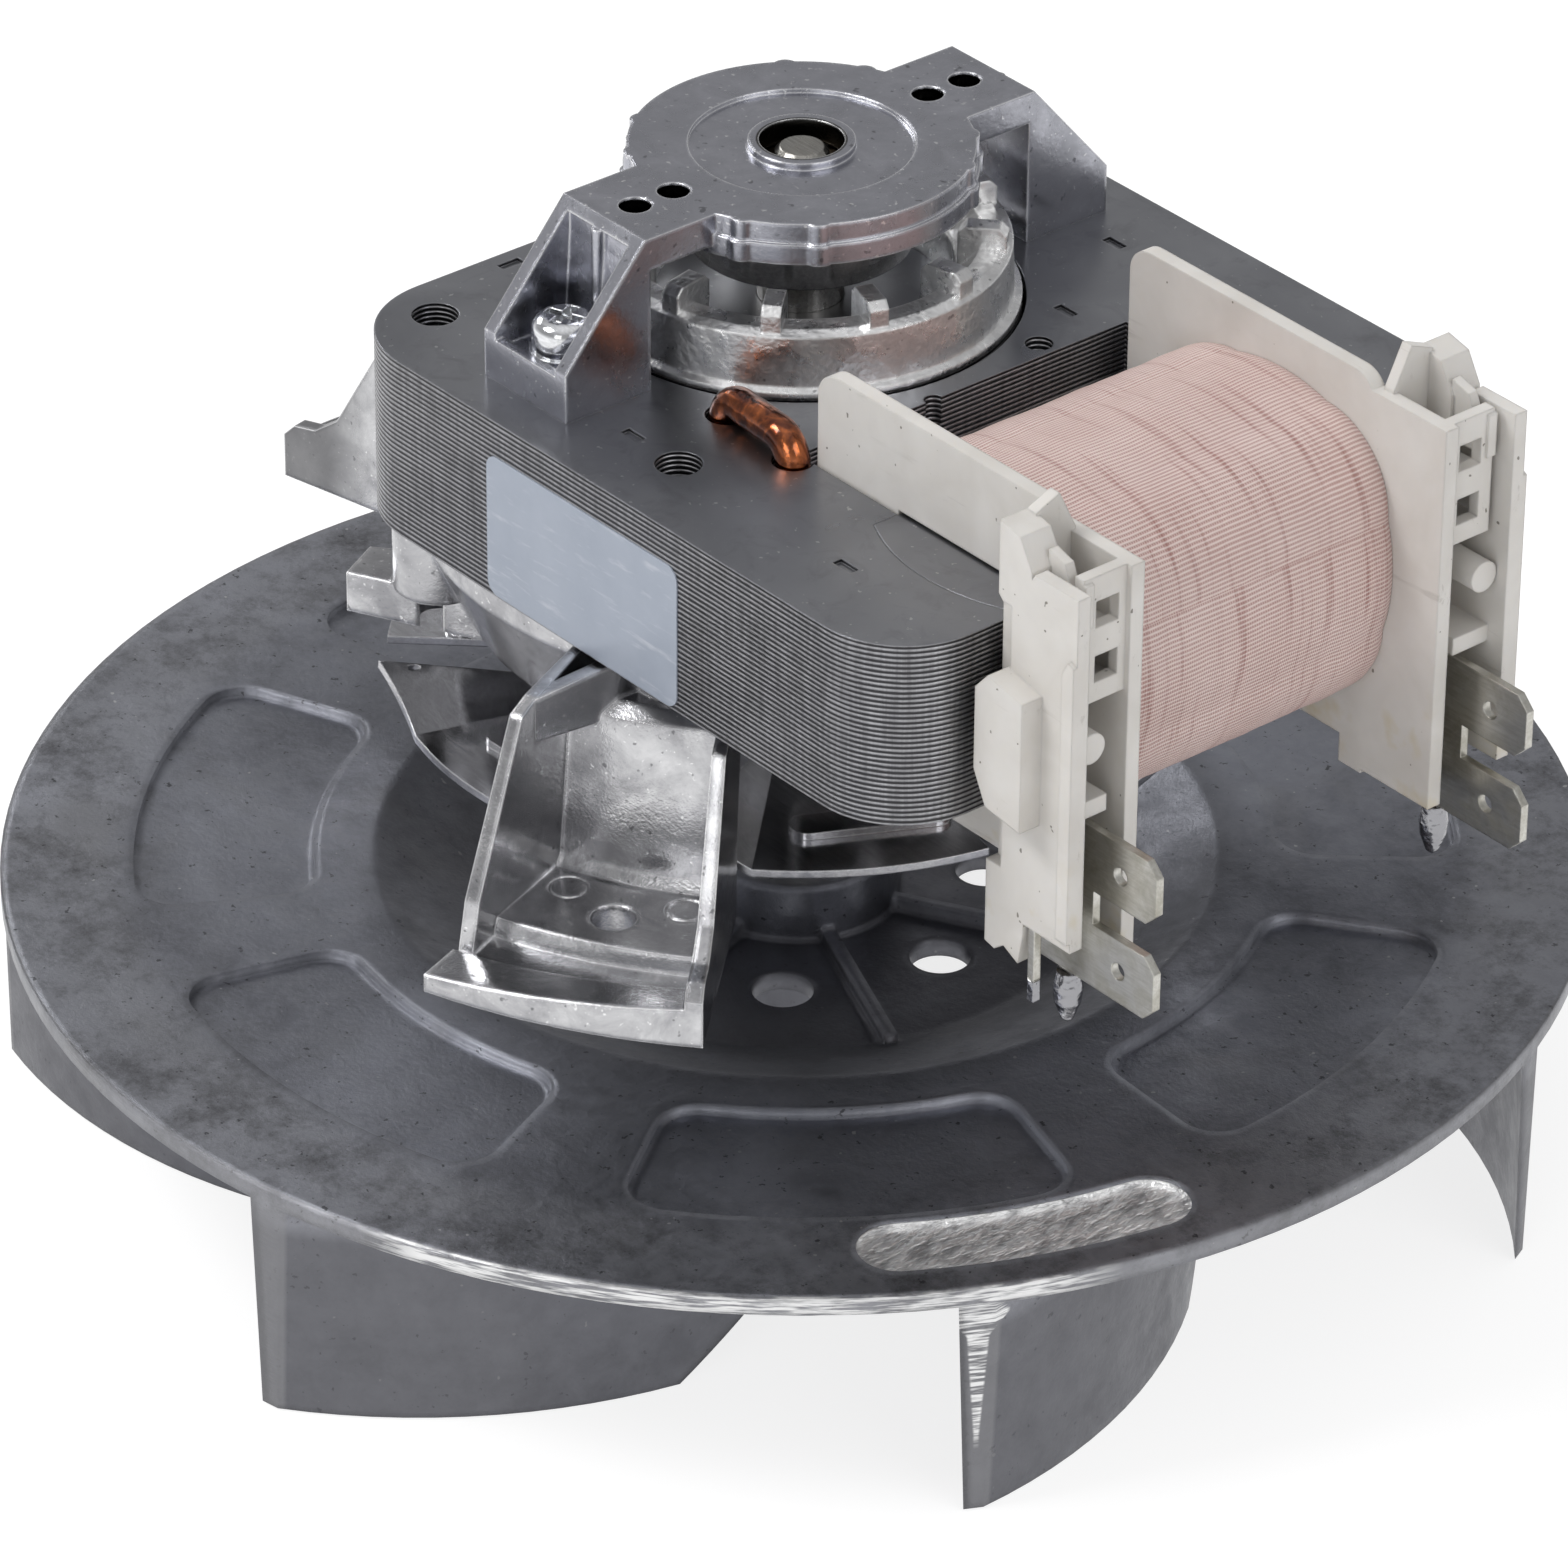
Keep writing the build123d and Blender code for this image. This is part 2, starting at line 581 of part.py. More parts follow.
def winding_post(side):
    # The square pin that carries the coil's start or finish.
    x = TOWER_X0 + PRONG_W + 0.2
    y = side * (TOWER_PLATE_Y - TOWER_PLATE_T / 2)
    half = POST_T / 2
    return one(block(x, x + POST_T, y - half, y + half, PLATE_LOW_Z - POST_L, PLATE_LOW_Z))


def top_bracket():
    z1 = BRACKET_Z1
    step_z = PLATE_Z0 + PLATE_T / 2
    body = cylinder(PLATE_R, step_z, z1) + cylinder(PLATE_R + PLATE_STEP, PLATE_Z0, step_z)
    for deg in NUB_DEG:
        x, y = polar(PLATE_R + NUB_OUT - NUB_R, deg)
        body = body + cylinder(NUB_R, PLATE_Z0, z1, x, y)
        body = body + cylinder(NUB_R + PLATE_STEP, PLATE_Z0, step_z, x, y)
    half_w = ARM_W / 2
    half = block(-half_w, half_w, 0, ARM_TOP_Y, PLATE_Z0 + ARM_UNDER, z1) + foot_leg()
    body = body + half + mirror(half, Plane.XZ)
    for side in (-1, 1):
        for y in ARM_HOLE_Y:
            body = body - cylinder(ARM_HOLE_D / 2, z1 - ARM_HOLE_DEPTH, z1 + 1, 0, side * y)
    body = body - cylinder(RECESS_R, z1 - RECESS_DEPTH, z1 + 1)
    body = body + cylinder(COLLAR_R, z1 - 1.0, z1 + COLLAR_H - RECESS_DEPTH)
    body = body - cylinder(COLLAR_BORE_R, PLATE_Z0 - 1, z1 + 2)
    body = body - Pos(0, 0, BALL_TOP_Z) * Sphere(BALL_TOP_R + BALL_SEAT)
    body = body - cylinder(CAP_R + CAP_FIT, PLATE_Z0 - 3, PLATE_Z0 + CAP_SINK)
    return one(body)


def foot_leg():
    # Hollow wedge on the +Y side: inner wall, two sloping ribs and a floor for the screw.
    half_w = ARM_W / 2
    z1 = BRACKET_Z1
    side_view = [
        (FOOT_INNER_Y, STACK_Z1), (FOOT_OUTER_Y, STACK_Z1), (FOOT_OUTER_Y, STACK_Z1 + FOOT_KERB),
        (ARM_TOP_Y, z1), (FOOT_INNER_Y, z1),
    ]
    wedge = Pos(-half_w, 0, 0) * extrude(Plane.YZ * make_face(Polyline(*side_view, close=True)), ARM_W)
    inner_w = half_w - FOOT_RIB_T
    back_y = FOOT_INNER_Y + FOOT_BACK_T
    roof_z = z1 - FOOT_ROOF_T
    hollow_view = [
        (back_y, FLOOR_TOP_Z), (FOOT_OUTER_Y - FOOT_KERB_T, FLOOR_TOP_Z),
        (FOOT_OUTER_Y - FOOT_KERB_T, STACK_Z1 + FOOT_KERB - 0.6),
        (FOOT_OUTER_Y + 1, STACK_Z1 + FOOT_KERB - 0.6),
        (FOOT_OUTER_Y + 1, roof_z), (back_y - 0.6, roof_z), (back_y - 0.6, roof_z - 2),
    ]
    hollow = extrude(Plane.YZ * make_face(Polyline(*hollow_view, close=True)), 2 * inner_w)
    wedge = wedge - Pos(-inner_w, 0, 0) * hollow
    bead = cylinder(GUIDE_R, FLOOR_TOP_Z, roof_z, 0, back_y - GUIDE_R + 0.2)
    wedge = wedge + bead
    return wedge - cylinder(SCREW_D / 2 + SCREW_PASS, STACK_Z1 - 1, FLOOR_TOP_Z + 1, 0, SCREW_Y)


def ball_bearing_bush(ball_r, height, bore_r, z):
    # Self-aligning sintered bush: a ball with flat ends, bored for its journal.
    ball = Sphere(ball_r) & Box(3 * ball_r, 3 * ball_r, height)
    return one(Pos(0, 0, z) * (ball - Cylinder(bore_r, height + 2)))


def top_bearing():
    return ball_bearing_bush(BALL_TOP_R, BALL_TOP_H, JOURNAL_TOP_D / 2 + BEARING_FIT, BALL_TOP_Z)


def lower_bearing():
    return ball_bearing_bush(BALL_LOW_R, BALL_LOW_H, JOURNAL_LOW_D / 2 + BEARING_FIT, BALL_LOW_Z)


def top_bearing_cap():
    # Pressed cup under the plate that holds the felt and the ball in its seat.
    z1 = PLATE_Z0 + CAP_SINK
    z0 = BALL_TOP_Z - BALL_TOP_H / 2 + 1.0
    cup = cylinder(CAP_R, z0, z1) - cylinder(CAP_R - CAP_T, z0 + CAP_T, z1 + 1)
    touch_r = math.sqrt(BALL_TOP_R ** 2 - (BALL_TOP_Z - z0 - CAP_T) ** 2)
    cup = cup - cylinder(touch_r + 0.02, z0 - 1, z0 + 2)
    return one(cup)


def top_felt():
    z0 = BALL_TOP_Z - BALL_TOP_H / 2 + 1.0 + CAP_T
    return one(ring(CAP_R - CAP_T - 0.1, BALL_TOP_R + BALL_SEAT, z0, PLATE_Z0 + 0.85))


def lower_bracket():
    # A shallow bowl under the stack, open towards the coil, with a bearing housing and three feet.
    top_in = BOWL_TOP_R - BOWL_WALL
    floor_z = BOWL_Z0 + BOWL_WALL
    rim_z = STACK_Z0 - BOWL_RIM_H
    section = [
        (BOWL_HOLE_R, BOWL_Z0), (BOWL_FOOT_R, BOWL_Z0), (BOWL_TOP_R, rim_z), (BOWL_TOP_R, STACK_Z0),
        (top_in, STACK_Z0), (top_in, rim_z),
        (BOWL_FOOT_R - BOWL_WALL / 2, floor_z), (BOWL_HOLE_R, floor_z),
    ]
    bowl = turned(section, 360 - 2 * BOWL_OPEN_DEG, BOWL_OPEN_DEG)
    bowl = bowl + ring(HOUSING_R + 5, BOWL_HOLE_R, BOWL_Z0, floor_z)
    r0, r1 = BOWL_WINDOW_R
    for deg in (150, 210):
        window = [(r0, BOWL_Z0 - 1), (r1, BOWL_Z0 - 1), (r1, floor_z + 1), (r0, floor_z + 1)]
        bowl = bowl - turned(window, BOWL_WINDOW_DEG, deg - BOWL_WINDOW_DEG / 2)
    housing = cylinder(HOUSING_R, BOWL_Z0, BALL_LOW_Z + BALL_LOW_H / 2 - 0.6)
    housing = housing - Pos(0, 0, BALL_LOW_Z) * Sphere(BALL_LOW_R + BALL_SEAT)
    housing = housing - cylinder(BALL_LOW_R + BALL_SEAT, BOWL_Z0 - 1, BALL_LOW_Z)
    housing = housing - cylinder(JOURNAL_LOW_D / 2 + 2.4, BOWL_Z0 - 1, STACK_Z0)
    body = bowl + housing
    for side in (-1, 1):
        body = body + cylinder(SCREW_POST_R, BOWL_Z0, STACK_Z0, 0, side * SCREW_Y)
        for x in (-MOUNT_PITCH_X / 2, MOUNT_PITCH_X / 2):
            body = body + cylinder(BOSS_D / 2, floor_z, STACK_Z0, x, side * MOUNT_PITCH_Y / 2)
    for turn in foot_turns():
        body = body + Rot(0, 0, turn) * wall_foot()
    lug = corner_lug()
    body = body + lug + mirror(lug, Plane.XZ)
    body = body - cylinder(CAP_R - 1.9, BOWL_Z0 - 1, BOWL_Z0 + CAP_T)
    for side in (-1, 1):
        body = body - cylinder(SCREW_D / 2 + SCREW_BITE, BOWL_Z0 - 1, STACK_Z0 + 1, 0, side * SCREW_Y)
        for x in (-MOUNT_PITCH_X / 2, MOUNT_PITCH_X / 2):
            body = body - cylinder(MOUNT_HOLE_D / 2, BOWL_Z0 - 3, STACK_Z0 + 1, x, side * MOUNT_PITCH_Y / 2)
    for turn in foot_turns():
        x, y = polar(WALL_HOLE_R, turn)
        body = body - cylinder(WALL_HOLE_D / 2, WALL_FOOT_Z - 1, WALL_FOOT_FLOOR_Z + 1, x, y)
    return one(body)


def foot_turns():
    return [WALL_FOOT_DEG + index * 360 / WALL_FOOT_COUNT for index in range(WALL_FOOT_COUNT)]


def wall_foot():
    # A box foot open to the outside: back wall, floor, two sloped ribs, a trough and a flared lip
    # that grows thicker from one end to the other.
    half = WALL_FOOT_SPAN_DEG / 2
    rib = WALL_FOOT_RIB_DEG
    base = WALL_FOOT_Z
    floor_z = WALL_FOOT_FLOOR_Z
    lip_z = base + WALL_LIP_T
    back_r = WALL_FOOT_BACK_R
    front_r = WALL_FOOT_FRONT_R
    shelf_z = STACK_Z0 - WALL_FOOT_SHELF
    top_in = BOWL_TOP_R - BOWL_WALL
    inside = [
        (back_r - WALL_FOOT_BACK_T, base), (back_r - WALL_FOOT_BACK_T, floor_z + 4.6),
        (back_r - 3.4, shelf_z - 3.4),
        (back_r - 5.0, shelf_z - 2.0), (top_in + 0.6, shelf_z - 1.8),
        (top_in, shelf_z - 0.4), (top_in, STACK_Z0),
    ]
    web = turned(inside + [
        (BOWL_TOP_R, STACK_Z0), (BOWL_TOP_R, shelf_z),
        (back_r - 3.4, shelf_z - 0.2), (back_r - 2.0, shelf_z - 1.2),
        (back_r - 1.6, shelf_z - 2.8), (back_r - 0.1, floor_z + 1.0),
        (back_r + 0.6, floor_z), (front_r, floor_z),
        (front_r + 0.6, base + 1.3), (WALL_LIP_INNER_R - 2.4, base + 1.1), (WALL_LIP_INNER_R, lip_z),
        (WALL_LIP_R - 1.1, lip_z), (WALL_LIP_R, lip_z - 0.8), (WALL_LIP_R, base),
    ], 2 * half, -half)
    low_end, high_end = WALL_LIP_RAMP
    reach = WALL_LIP_R * math.sin(math.radians(half))
    ramp = Pos(front_r + 0.6, 0, 0) * extrude(Plane.YZ * make_face(Polyline(
        (-reach - 1, base + low_end), (reach - 1.5, base + high_end),
        (reach - 1.5, lip_z + 1), (-reach - 1, lip_z + 1),
        close=True,
    )), WALL_LIP_R)
    web = web - ramp
    rib_top = [
        (BOWL_TOP_R + 1, STACK_Z0), (WALL_FOOT_RIB_R - 2.5, STACK_Z0 - 1.3),
        (WALL_FOOT_RIB_R, STACK_Z0 - 2.1),
    ]
    low_front = [(front_r + 3.0, floor_z + 3.0), (front_r + 4.0, base + 1.8), (front_r + 4.4, base)]
    low_rib = turned(inside + rib_top + low_front, rib, -half)
    high_rib = turned(inside + rib_top + [
        (front_r + 3.0, floor_z + 5.3), (WALL_LIP_INNER_R - 1.1, lip_z + 1.3),
        (WALL_LIP_R - 1.3, lip_z + 0.9),
        (WALL_LIP_R, lip_z - 0.4), (WALL_LIP_R, base),
    ], rib, half - rib)
    foot = web + low_rib + high_rib + foot_ridge()
    for deg in (-EJECTOR_DEG, EJECTOR_DEG):
        x, y = polar(EJECTOR_R, deg)
        foot = foot - ring(EJECTOR_D / 2, EJECTOR_D / 2 - 0.3, floor_z - 0.15, floor_z + 1, x, y)
    return foot


def foot_ridge():
    # The wall that runs from the top of one rib slantwise in to the bowl.
    x0, y0 = polar(WALL_FOOT_RIB_R - 2.5, -WALL_FOOT_SPAN_DEG / 2 + WALL_FOOT_RIB_DEG / 2)
    length = math.hypot(x0 - RIDGE_END_R, y0 + 2)
    turn = math.degrees(math.atan2(-2 - y0, RIDGE_END_R - x0))
    low = STACK_Z0 - WALL_FOOT_SHELF - 2
    side = Plane.XZ * make_face(Polyline(
        (0, low), (length, low), (length, STACK_Z0),
        (length - 1.5, STACK_Z0), (0, STACK_Z0 - 1.4), close=True,
    ))
    ridge = Pos(0, RIDGE_T / 2, 0) * extrude(side, RIDGE_T)
    return Pos(x0, y0, 0) * Rot(0, 0, turn) * ridge


def corner_lug():
    # The wedge under the screw boss at the closed end of the stack.
    x = MOUNT_PITCH_X / 2
    y = MOUNT_PITCH_Y / 2
    points = [(-x + 5.8, -y + 1.0), (-x - 6.8, -y - 5.6), (-x - 9.2, -y - 1.0), (-x - 3.0, -y + 4.2)]
    return prism(points, BOWL_Z0 - 1.7, BOWL_Z0 + 2.4)


def lower_bearing_cap():
    return one(ring(CAP_R - 2.0, JOURNAL_LOW_D / 2 + 0.4, BOWL_Z0, BOWL_Z0 + CAP_T - 0.02))


def lower_felt():
    return one(ring(5.7, JOURNAL_LOW_D / 2 + 0.3, BOWL_Z0 + CAP_T, BOWL_Z0 + CAP_T + FELT_T - 0.1))


def rotor_slots(clear):
    r = ROTOR_D / 2 - ROTOR_BAR_DEPTH - ROTOR_BAR_D / 2
    shapes = []
    for index in range(ROTOR_BAR_COUNT):
        x, y = polar(r, index * 360 / ROTOR_BAR_COUNT)
        shapes.append(cylinder(ROTOR_BAR_D / 2 + clear, STACK_Z0, STACK_Z1, x, y))
    return shapes


def rotor_core():
    core = ring(ROTOR_D / 2, CORE_SHAFT_D / 2 + 0.01, STACK_Z0, STACK_Z1)
    for bar in rotor_slots(BAR_FIT):
        core = core - bar
    return one(core)


def rotor_cage():
    # Cast end rings joined by the bars through the core, with paddle nubs on the rings.
    top = end_ring()
    cage = top + Pos(0, 0, 2 * STACK_MID) * mirror(top, Plane.XY)
    for bar in rotor_slots(0.0):
        cage = cage + bar
    return one(cage)


def end_ring():
    r = ROTOR_D / 2
    z0 = STACK_Z1
    body = turned([
        (RING_INNER_R - 0.6, z0), (r, z0), (r, z0 + 0.6),
        (r - 0.7, z0 + 0.9), (r - RING_DRAFT, z0 + RING_H - 0.4),
        (r - RING_DRAFT - 1.0, z0 + RING_H), (RING_INNER_R + 2.4, z0 + RING_H),
        (RING_INNER_R, z0 + RING_H - 2.6),
    ])
    fin_r1 = r - RING_DRAFT - 0.4
    fin = block(RING_INNER_R + 0.4, fin_r1, -FIN_W / 2, FIN_W / 2, z0 + RING_H - 2.4, z0 + RING_H + FIN_H)
    top_edge = fin.edges().filter_by(Axis.Y).group_by(Axis.Z)[-1]
    fin = chamfer(top_edge, 0.7)
    for index in range(FIN_COUNT):
        body = body + Rot(0, 0, (index + 0.4) * 360 / FIN_COUNT) * fin
    return body


def shaft():
    top_z = BRACKET_Z1 - SHAFT_RECESS
    shoulder_top = BALL_TOP_Z - BALL_TOP_H / 2 - THRUST_T - THRUST_PLAY
    shoulder_low = BALL_LOW_Z + BALL_LOW_H / 2 + THRUST_T + THRUST_PLAY
    body = cylinder(JOURNAL_TOP_D / 2, shoulder_top - 1, top_z)
    body = chamfer(body.edges().group_by(Axis.Z)[-1], 0.5)
    body = body + cylinder(CORE_SHAFT_D / 2, shoulder_low, shoulder_top)
    body = body + cylinder(JOURNAL_LOW_D / 2, HUB_TOP_Z, shoulder_low)
    tail = cylinder(THREAD_D / 2, SHAFT_END_Z, HUB_TOP_Z)
    tail = chamfer(tail.edges().group_by(Axis.Z)[0], 0.6)
    return one(body + tail)


def thrust_washer_top():
    z1 = BALL_TOP_Z - BALL_TOP_H / 2 - THRUST_PLAY
    return one(ring(4.9, JOURNAL_TOP_D / 2 + 0.05, z1 - THRUST_T, z1))


def thrust_washer_low():
    z0 = BALL_LOW_Z + BALL_LOW_H / 2 + THRUST_PLAY
    return one(ring(5.4, JOURNAL_LOW_D / 2 + 0.05, z0, z0 + THRUST_T))


def cooling_fan():
    # Thin sheet disc cut into petals whose leading points are bent up.
    step = 360 / FAN_PETALS
    flat_span = step - FAN_TIP_SPAN_DEG - 3
    body = ring(FAN_SLIT_INNER_R + 3, JOURNAL_LOW_D / 2 + 1.0, FAN_Z, FAN_Z + FAN_T)
    for index in range(FAN_PETALS):
        turn = FAN_START_DEG + index * step
        body = body + Rot(0, 0, turn) * fan_petal(flat_span)
    return one(body)


def fan_petal(flat_span):
    flat = turned(
        [(FAN_SLIT_INNER_R, FAN_Z), (FAN_R, FAN_Z),
         (FAN_R, FAN_Z + FAN_T), (FAN_SLIT_INNER_R, FAN_Z + FAN_T)],
        flat_span,
    )
    bead_x, bead_y = polar(BEAD_R, flat_span / 2 + 2)
    bead = Pos(bead_x, bead_y, FAN_Z) * Rot(0, 0, flat_span / 2 + 92)
    bead = bead * extrude(SlotOverall(BEAD_L, BEAD_W), FAN_T + BEAD_H)
    tip = polar(FAN_TIP_R, -FAN_TIP_SPAN_DEG)
    middle = polar(FAN_R + 0.3, -FAN_TIP_SPAN_DEG / 2)
    outline = make_face([
        Line((FAN_SLIT_INNER_R, 0.3), (FAN_R, 0.3)),
        ThreePointArc((FAN_R, 0.3), middle, tip),
        Line(tip, (FAN_SLIT_INNER_R + 4, -1.6)),
        Line((FAN_SLIT_INNER_R + 4, -1.6), (FAN_SLIT_INNER_R, 0.3)),
    ])
    hole = Pos(*polar(FAN_TIP_R - 3.2, -FAN_TIP_SPAN_DEG + 2.5)) * Circle(0.6)
    horn = extrude(outline - hole, FAN_T)
    horn = Pos(0, 0, FAN_Z) * Rot(-FAN_TIP_PITCH_DEG, 0, 0) * horn
    return flat + bead + horn


def fan_bush():
    z0 = FAN_Z + FAN_T
    bush = cylinder(BUSH_D / 2, z0, z0 + BUSH_H) + cylinder(BUSH_FLANGE_D / 2, z0, z0 + 1.4)
    bush = bush + cylinder(JOURNAL_LOW_D / 2 + 0.95, FAN_Z - 0.4, z0)
    return one(bush - cylinder(JOURNAL_LOW_D / 2 + 0.01, FAN_Z - 1, z0 + BUSH_H + 1))


def impeller():
    # A dished disc on a hub, with shallow pads, vents, small ribs, a balance cut and curved blades.
    r = IMPELLER_D / 2
    bore = THREAD_D / 2 + THREAD_CLEAR
    body = turned([
        (bore, DISH_TOP_Z), (DISH_BOTTOM_R, DISH_TOP_Z), (DISH_TOP_R, DISC_TOP), (r, DISC_TOP),
        (r, BLADE_DEPTH), (DISH_TOP_R + 1, BLADE_DEPTH), (DISH_BOTTOM_R + 1, DISH_TOP_Z - DISC_T),
        (bore, DISH_TOP_Z - DISC_T),
    ])
    body = body + ring(HUB_D / 2, bore, HUB_LOW_Z, HUB_TOP_Z)
    step = 360 / BLADE_COUNT
    half_rib = DISH_RIB_W / 2
    rib_top = DISH_TOP_Z + DISH_RIB_H
    rib = block(HUB_D / 2 - 0.5, DISH_BOTTOM_R + 1, -half_rib, half_rib, DISH_TOP_Z - 1, rib_top)
    pad = impeller_pad()
    for index in range(BLADE_COUNT):
        body = body + Rot(0, 0, DISH_RIB_START_DEG + index * step) * rib
        body = body - Rot(0, 0, PAD_START_DEG + index * step) * pad
        x, y = polar(VENT_R, VENT_START_DEG + index * step)
        body = body - cylinder(VENT_D / 2, DISH_TOP_Z - DISC_T - 1, DISH_TOP_Z + 3, x, y)
    body = body - balance_cut()
    blade = impeller_blade()
    for index in range(BLADE_COUNT):
        body = body + Rot(0, 0, BLADE_START_DEG + index * step) * blade
    return one(body)


def balance_cut():
    # The shallow milled slot in the rim, round at both ends.
    half_w = BALANCE_CUT_W / 2
    half = BALANCE_CUT_SPAN_DEG / 2
    low = DISC_TOP - BALANCE_CUT_DEPTH
    r0 = BALANCE_CUT_R - half_w
    r1 = BALANCE_CUT_R + half_w
    section = [(r0, low), (r1, low), (r1, DISC_TOP + 1), (r0, DISC_TOP + 1)]
    cut = turned(section, 2 * half, BALANCE_CUT_DEG - half)
    for deg in (BALANCE_CUT_DEG - half, BALANCE_CUT_DEG + half):
        x, y = polar(BALANCE_CUT_R, deg)
        cut = cut + cylinder(half_w, low, DISC_TOP + 1, x, y)
    return cut


def impeller_blade():
    # Part of a cylinder wall, thinner towards its tip, with a slanted inner end.
    root = Pos(0, 0, BLADE_DEPTH + DISC_T / 2) * blade_section(BLADE_ROOT_T)
    tip = blade_section(BLADE_TIP_T)
    reach = turned([
        (BLADE_FOOT_R, 0), (IMPELLER_D / 2, 0), (IMPELLER_D / 2, DISC_TOP), (BLADE_EYE_R, DISC_TOP),
        (BLADE_EYE_R, BLADE_DEPTH),
    ])
    return loft([root, tip]) & reach


def blade_section(thick):
    start, end = BLADE_SWEEP_DEG
    middle = (start + end) / 2
    outer = BLADE_CURVE_R + thick / 2
    inner = BLADE_CURVE_R - thick / 2
    face = make_face([
        ThreePointArc(polar(outer, start), polar(outer, middle), polar(outer, end)),
        Line(polar(outer, end), polar(inner, end)),
        ThreePointArc(polar(inner, end), polar(inner, middle), polar(inner, start)),
        Line(polar(inner, start), polar(outer, start)),
    ])
    return Pos(*polar(BLADE_CENTRE_R, BLADE_CENTRE_DEG)) * face


def impeller_pad():
    # A shallow recess shaped like a rounded piece of a ring.
    half = PAD_SPAN_DEG / 2
    a = polar(PAD_INNER_R, -half)
    b = polar(PAD_INNER_R, half)
    c = polar(PAD_OUTER_R, half)
    d = polar(PAD_OUTER_R, -half)
    face = make_face([
        ThreePointArc(a, (PAD_INNER_R, 0), b), Line(b, c),
        ThreePointArc(c, (PAD_OUTER_R, 0), d), Line(d, a),
    ])
    face = fillet(face.vertices(), PAD_CORNER_SHARE * (PAD_OUTER_R - PAD_INNER_R))
    return Pos(0, 0, DISC_TOP - PAD_DEPTH) * extrude(face, PAD_DEPTH + 1)


def hexagon_nut():
    z1 = HUB_LOW_Z - NUT_WASHER_T
    body = Pos(0, 0, z1 - NUT_H) * extrude(RegularPolygon(NUT_AF / math.sqrt(3), 6), NUT_H)
    cone = turned([
        (0, z1 - NUT_H - 0.01), (NUT_AF / 2 - 0.1, z1 - NUT_H - 0.01),
        (NUT_AF / 2 + 1.4, z1 - NUT_H + 0.9), (NUT_AF / 2 + 1.4, z1 + 0.01), (0, z1 + 0.01)])
    body = (body & cone) - cylinder(THREAD_D / 2 + 0.02, z1 - NUT_H - 1, z1 + 1)
    return one(body)


def nut_washer():
    return one(ring(NUT_WASHER_D / 2, THREAD_D / 2 + 0.1, HUB_LOW_Z - NUT_WASHER_T, HUB_LOW_Z))


def pan_screw():
    # Pan head with a cross recess, seated on its washers in the foot of the top bracket.
    z = SCREW_SEAT_Z
    head = cylinder(SCREW_HEAD_D / 2, z, z + SCREW_HEAD_H)
    head = fillet(head.edges().group_by(Axis.Z)[-1], SCREW_HEAD_H * 0.55)
    for deg in (0, 90):
        slot = Rot(0, 0, deg + 20) * Box(SCREW_HEAD_D * 0.62, RECESS_CROSS_W, 2.4)
        head = head - Pos(0, 0, z + SCREW_HEAD_H) * slot
    return head + cylinder(SCREW_D / 2, z - SCREW_L, z)


def spring_washer():
    z0 = FLOOR_TOP_Z + PLAIN_WASHER_T
    washer = ring(SPRING_WASHER_D / 2, SCREW_D / 2 + 0.1, z0, z0 + SPRING_WASHER_T)
    return washer - Rot(0, 0, 35) * Pos(SPRING_WASHER_D / 2, 0, z0) * Box(4, 0.5, 4)


def plain_washer():
    return ring(PLAIN_WASHER_D / 2, SCREW_D / 2 + 0.1, FLOOR_TOP_Z, FLOOR_TOP_Z + PLAIN_WASHER_T)


def pair_at_feet(shape):
    solids = []
    for side in (-1, 1):
        solids.extend((Pos(0, side * SCREW_Y, 0) * shape).solids())
    return Compound(children=solids)


parts = {
    "stator_stack": stator_stack(),
    "limb_core": limb_core(),
    "shading_ring_front": one(shading_ring(1)),
    "shading_ring_rear": one(shading_ring(-1)),
    "coil_bobbin": coil_bobbin(),
    "coil_winding": coil_winding(),
    "terminal_near": terminal(-1),
    "terminal_far": terminal(1),
    "winding_post_near": winding_post(-1),
    "winding_post_far": winding_post(1),
    "top_bracket": top_bracket(),
    "top_bearing": top_bearing(),
    "top_bearing_cap": top_bearing_cap(),
    "top_felt": top_felt(),
    "lower_bracket": lower_bracket(),
    "lower_bearing": lower_bearing(),
    "lower_bearing_cap": lower_bearing_cap(),
    "lower_felt": lower_felt(),
    "bracket_screws": pair_at_feet(pan_screw()),
    "spring_washers": pair_at_feet(spring_washer()),
    "plain_washers": pair_at_feet(plain_washer()),
    "rotor_core": rotor_core(),
    "rotor_cage": rotor_cage(),
    "shaft": shaft(),
    "thrust_washer_top": thrust_washer_top(),
    "thrust_washer_low": thrust_washer_low(),
    "cooling_fan": cooling_fan(),
    "fan_bush": fan_bush(),
    "impeller": impeller(),
    "nut_washer": nut_washer(),
    "impeller_nut": hexagon_nut(),
}

os.makedirs("parts", exist_ok=True)
for name, shape in parts.items():
    export_step(shape, "parts/" + name + ".step")
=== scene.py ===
import math

import bpy
import bmesh
from mathutils import Matrix, Vector, noise


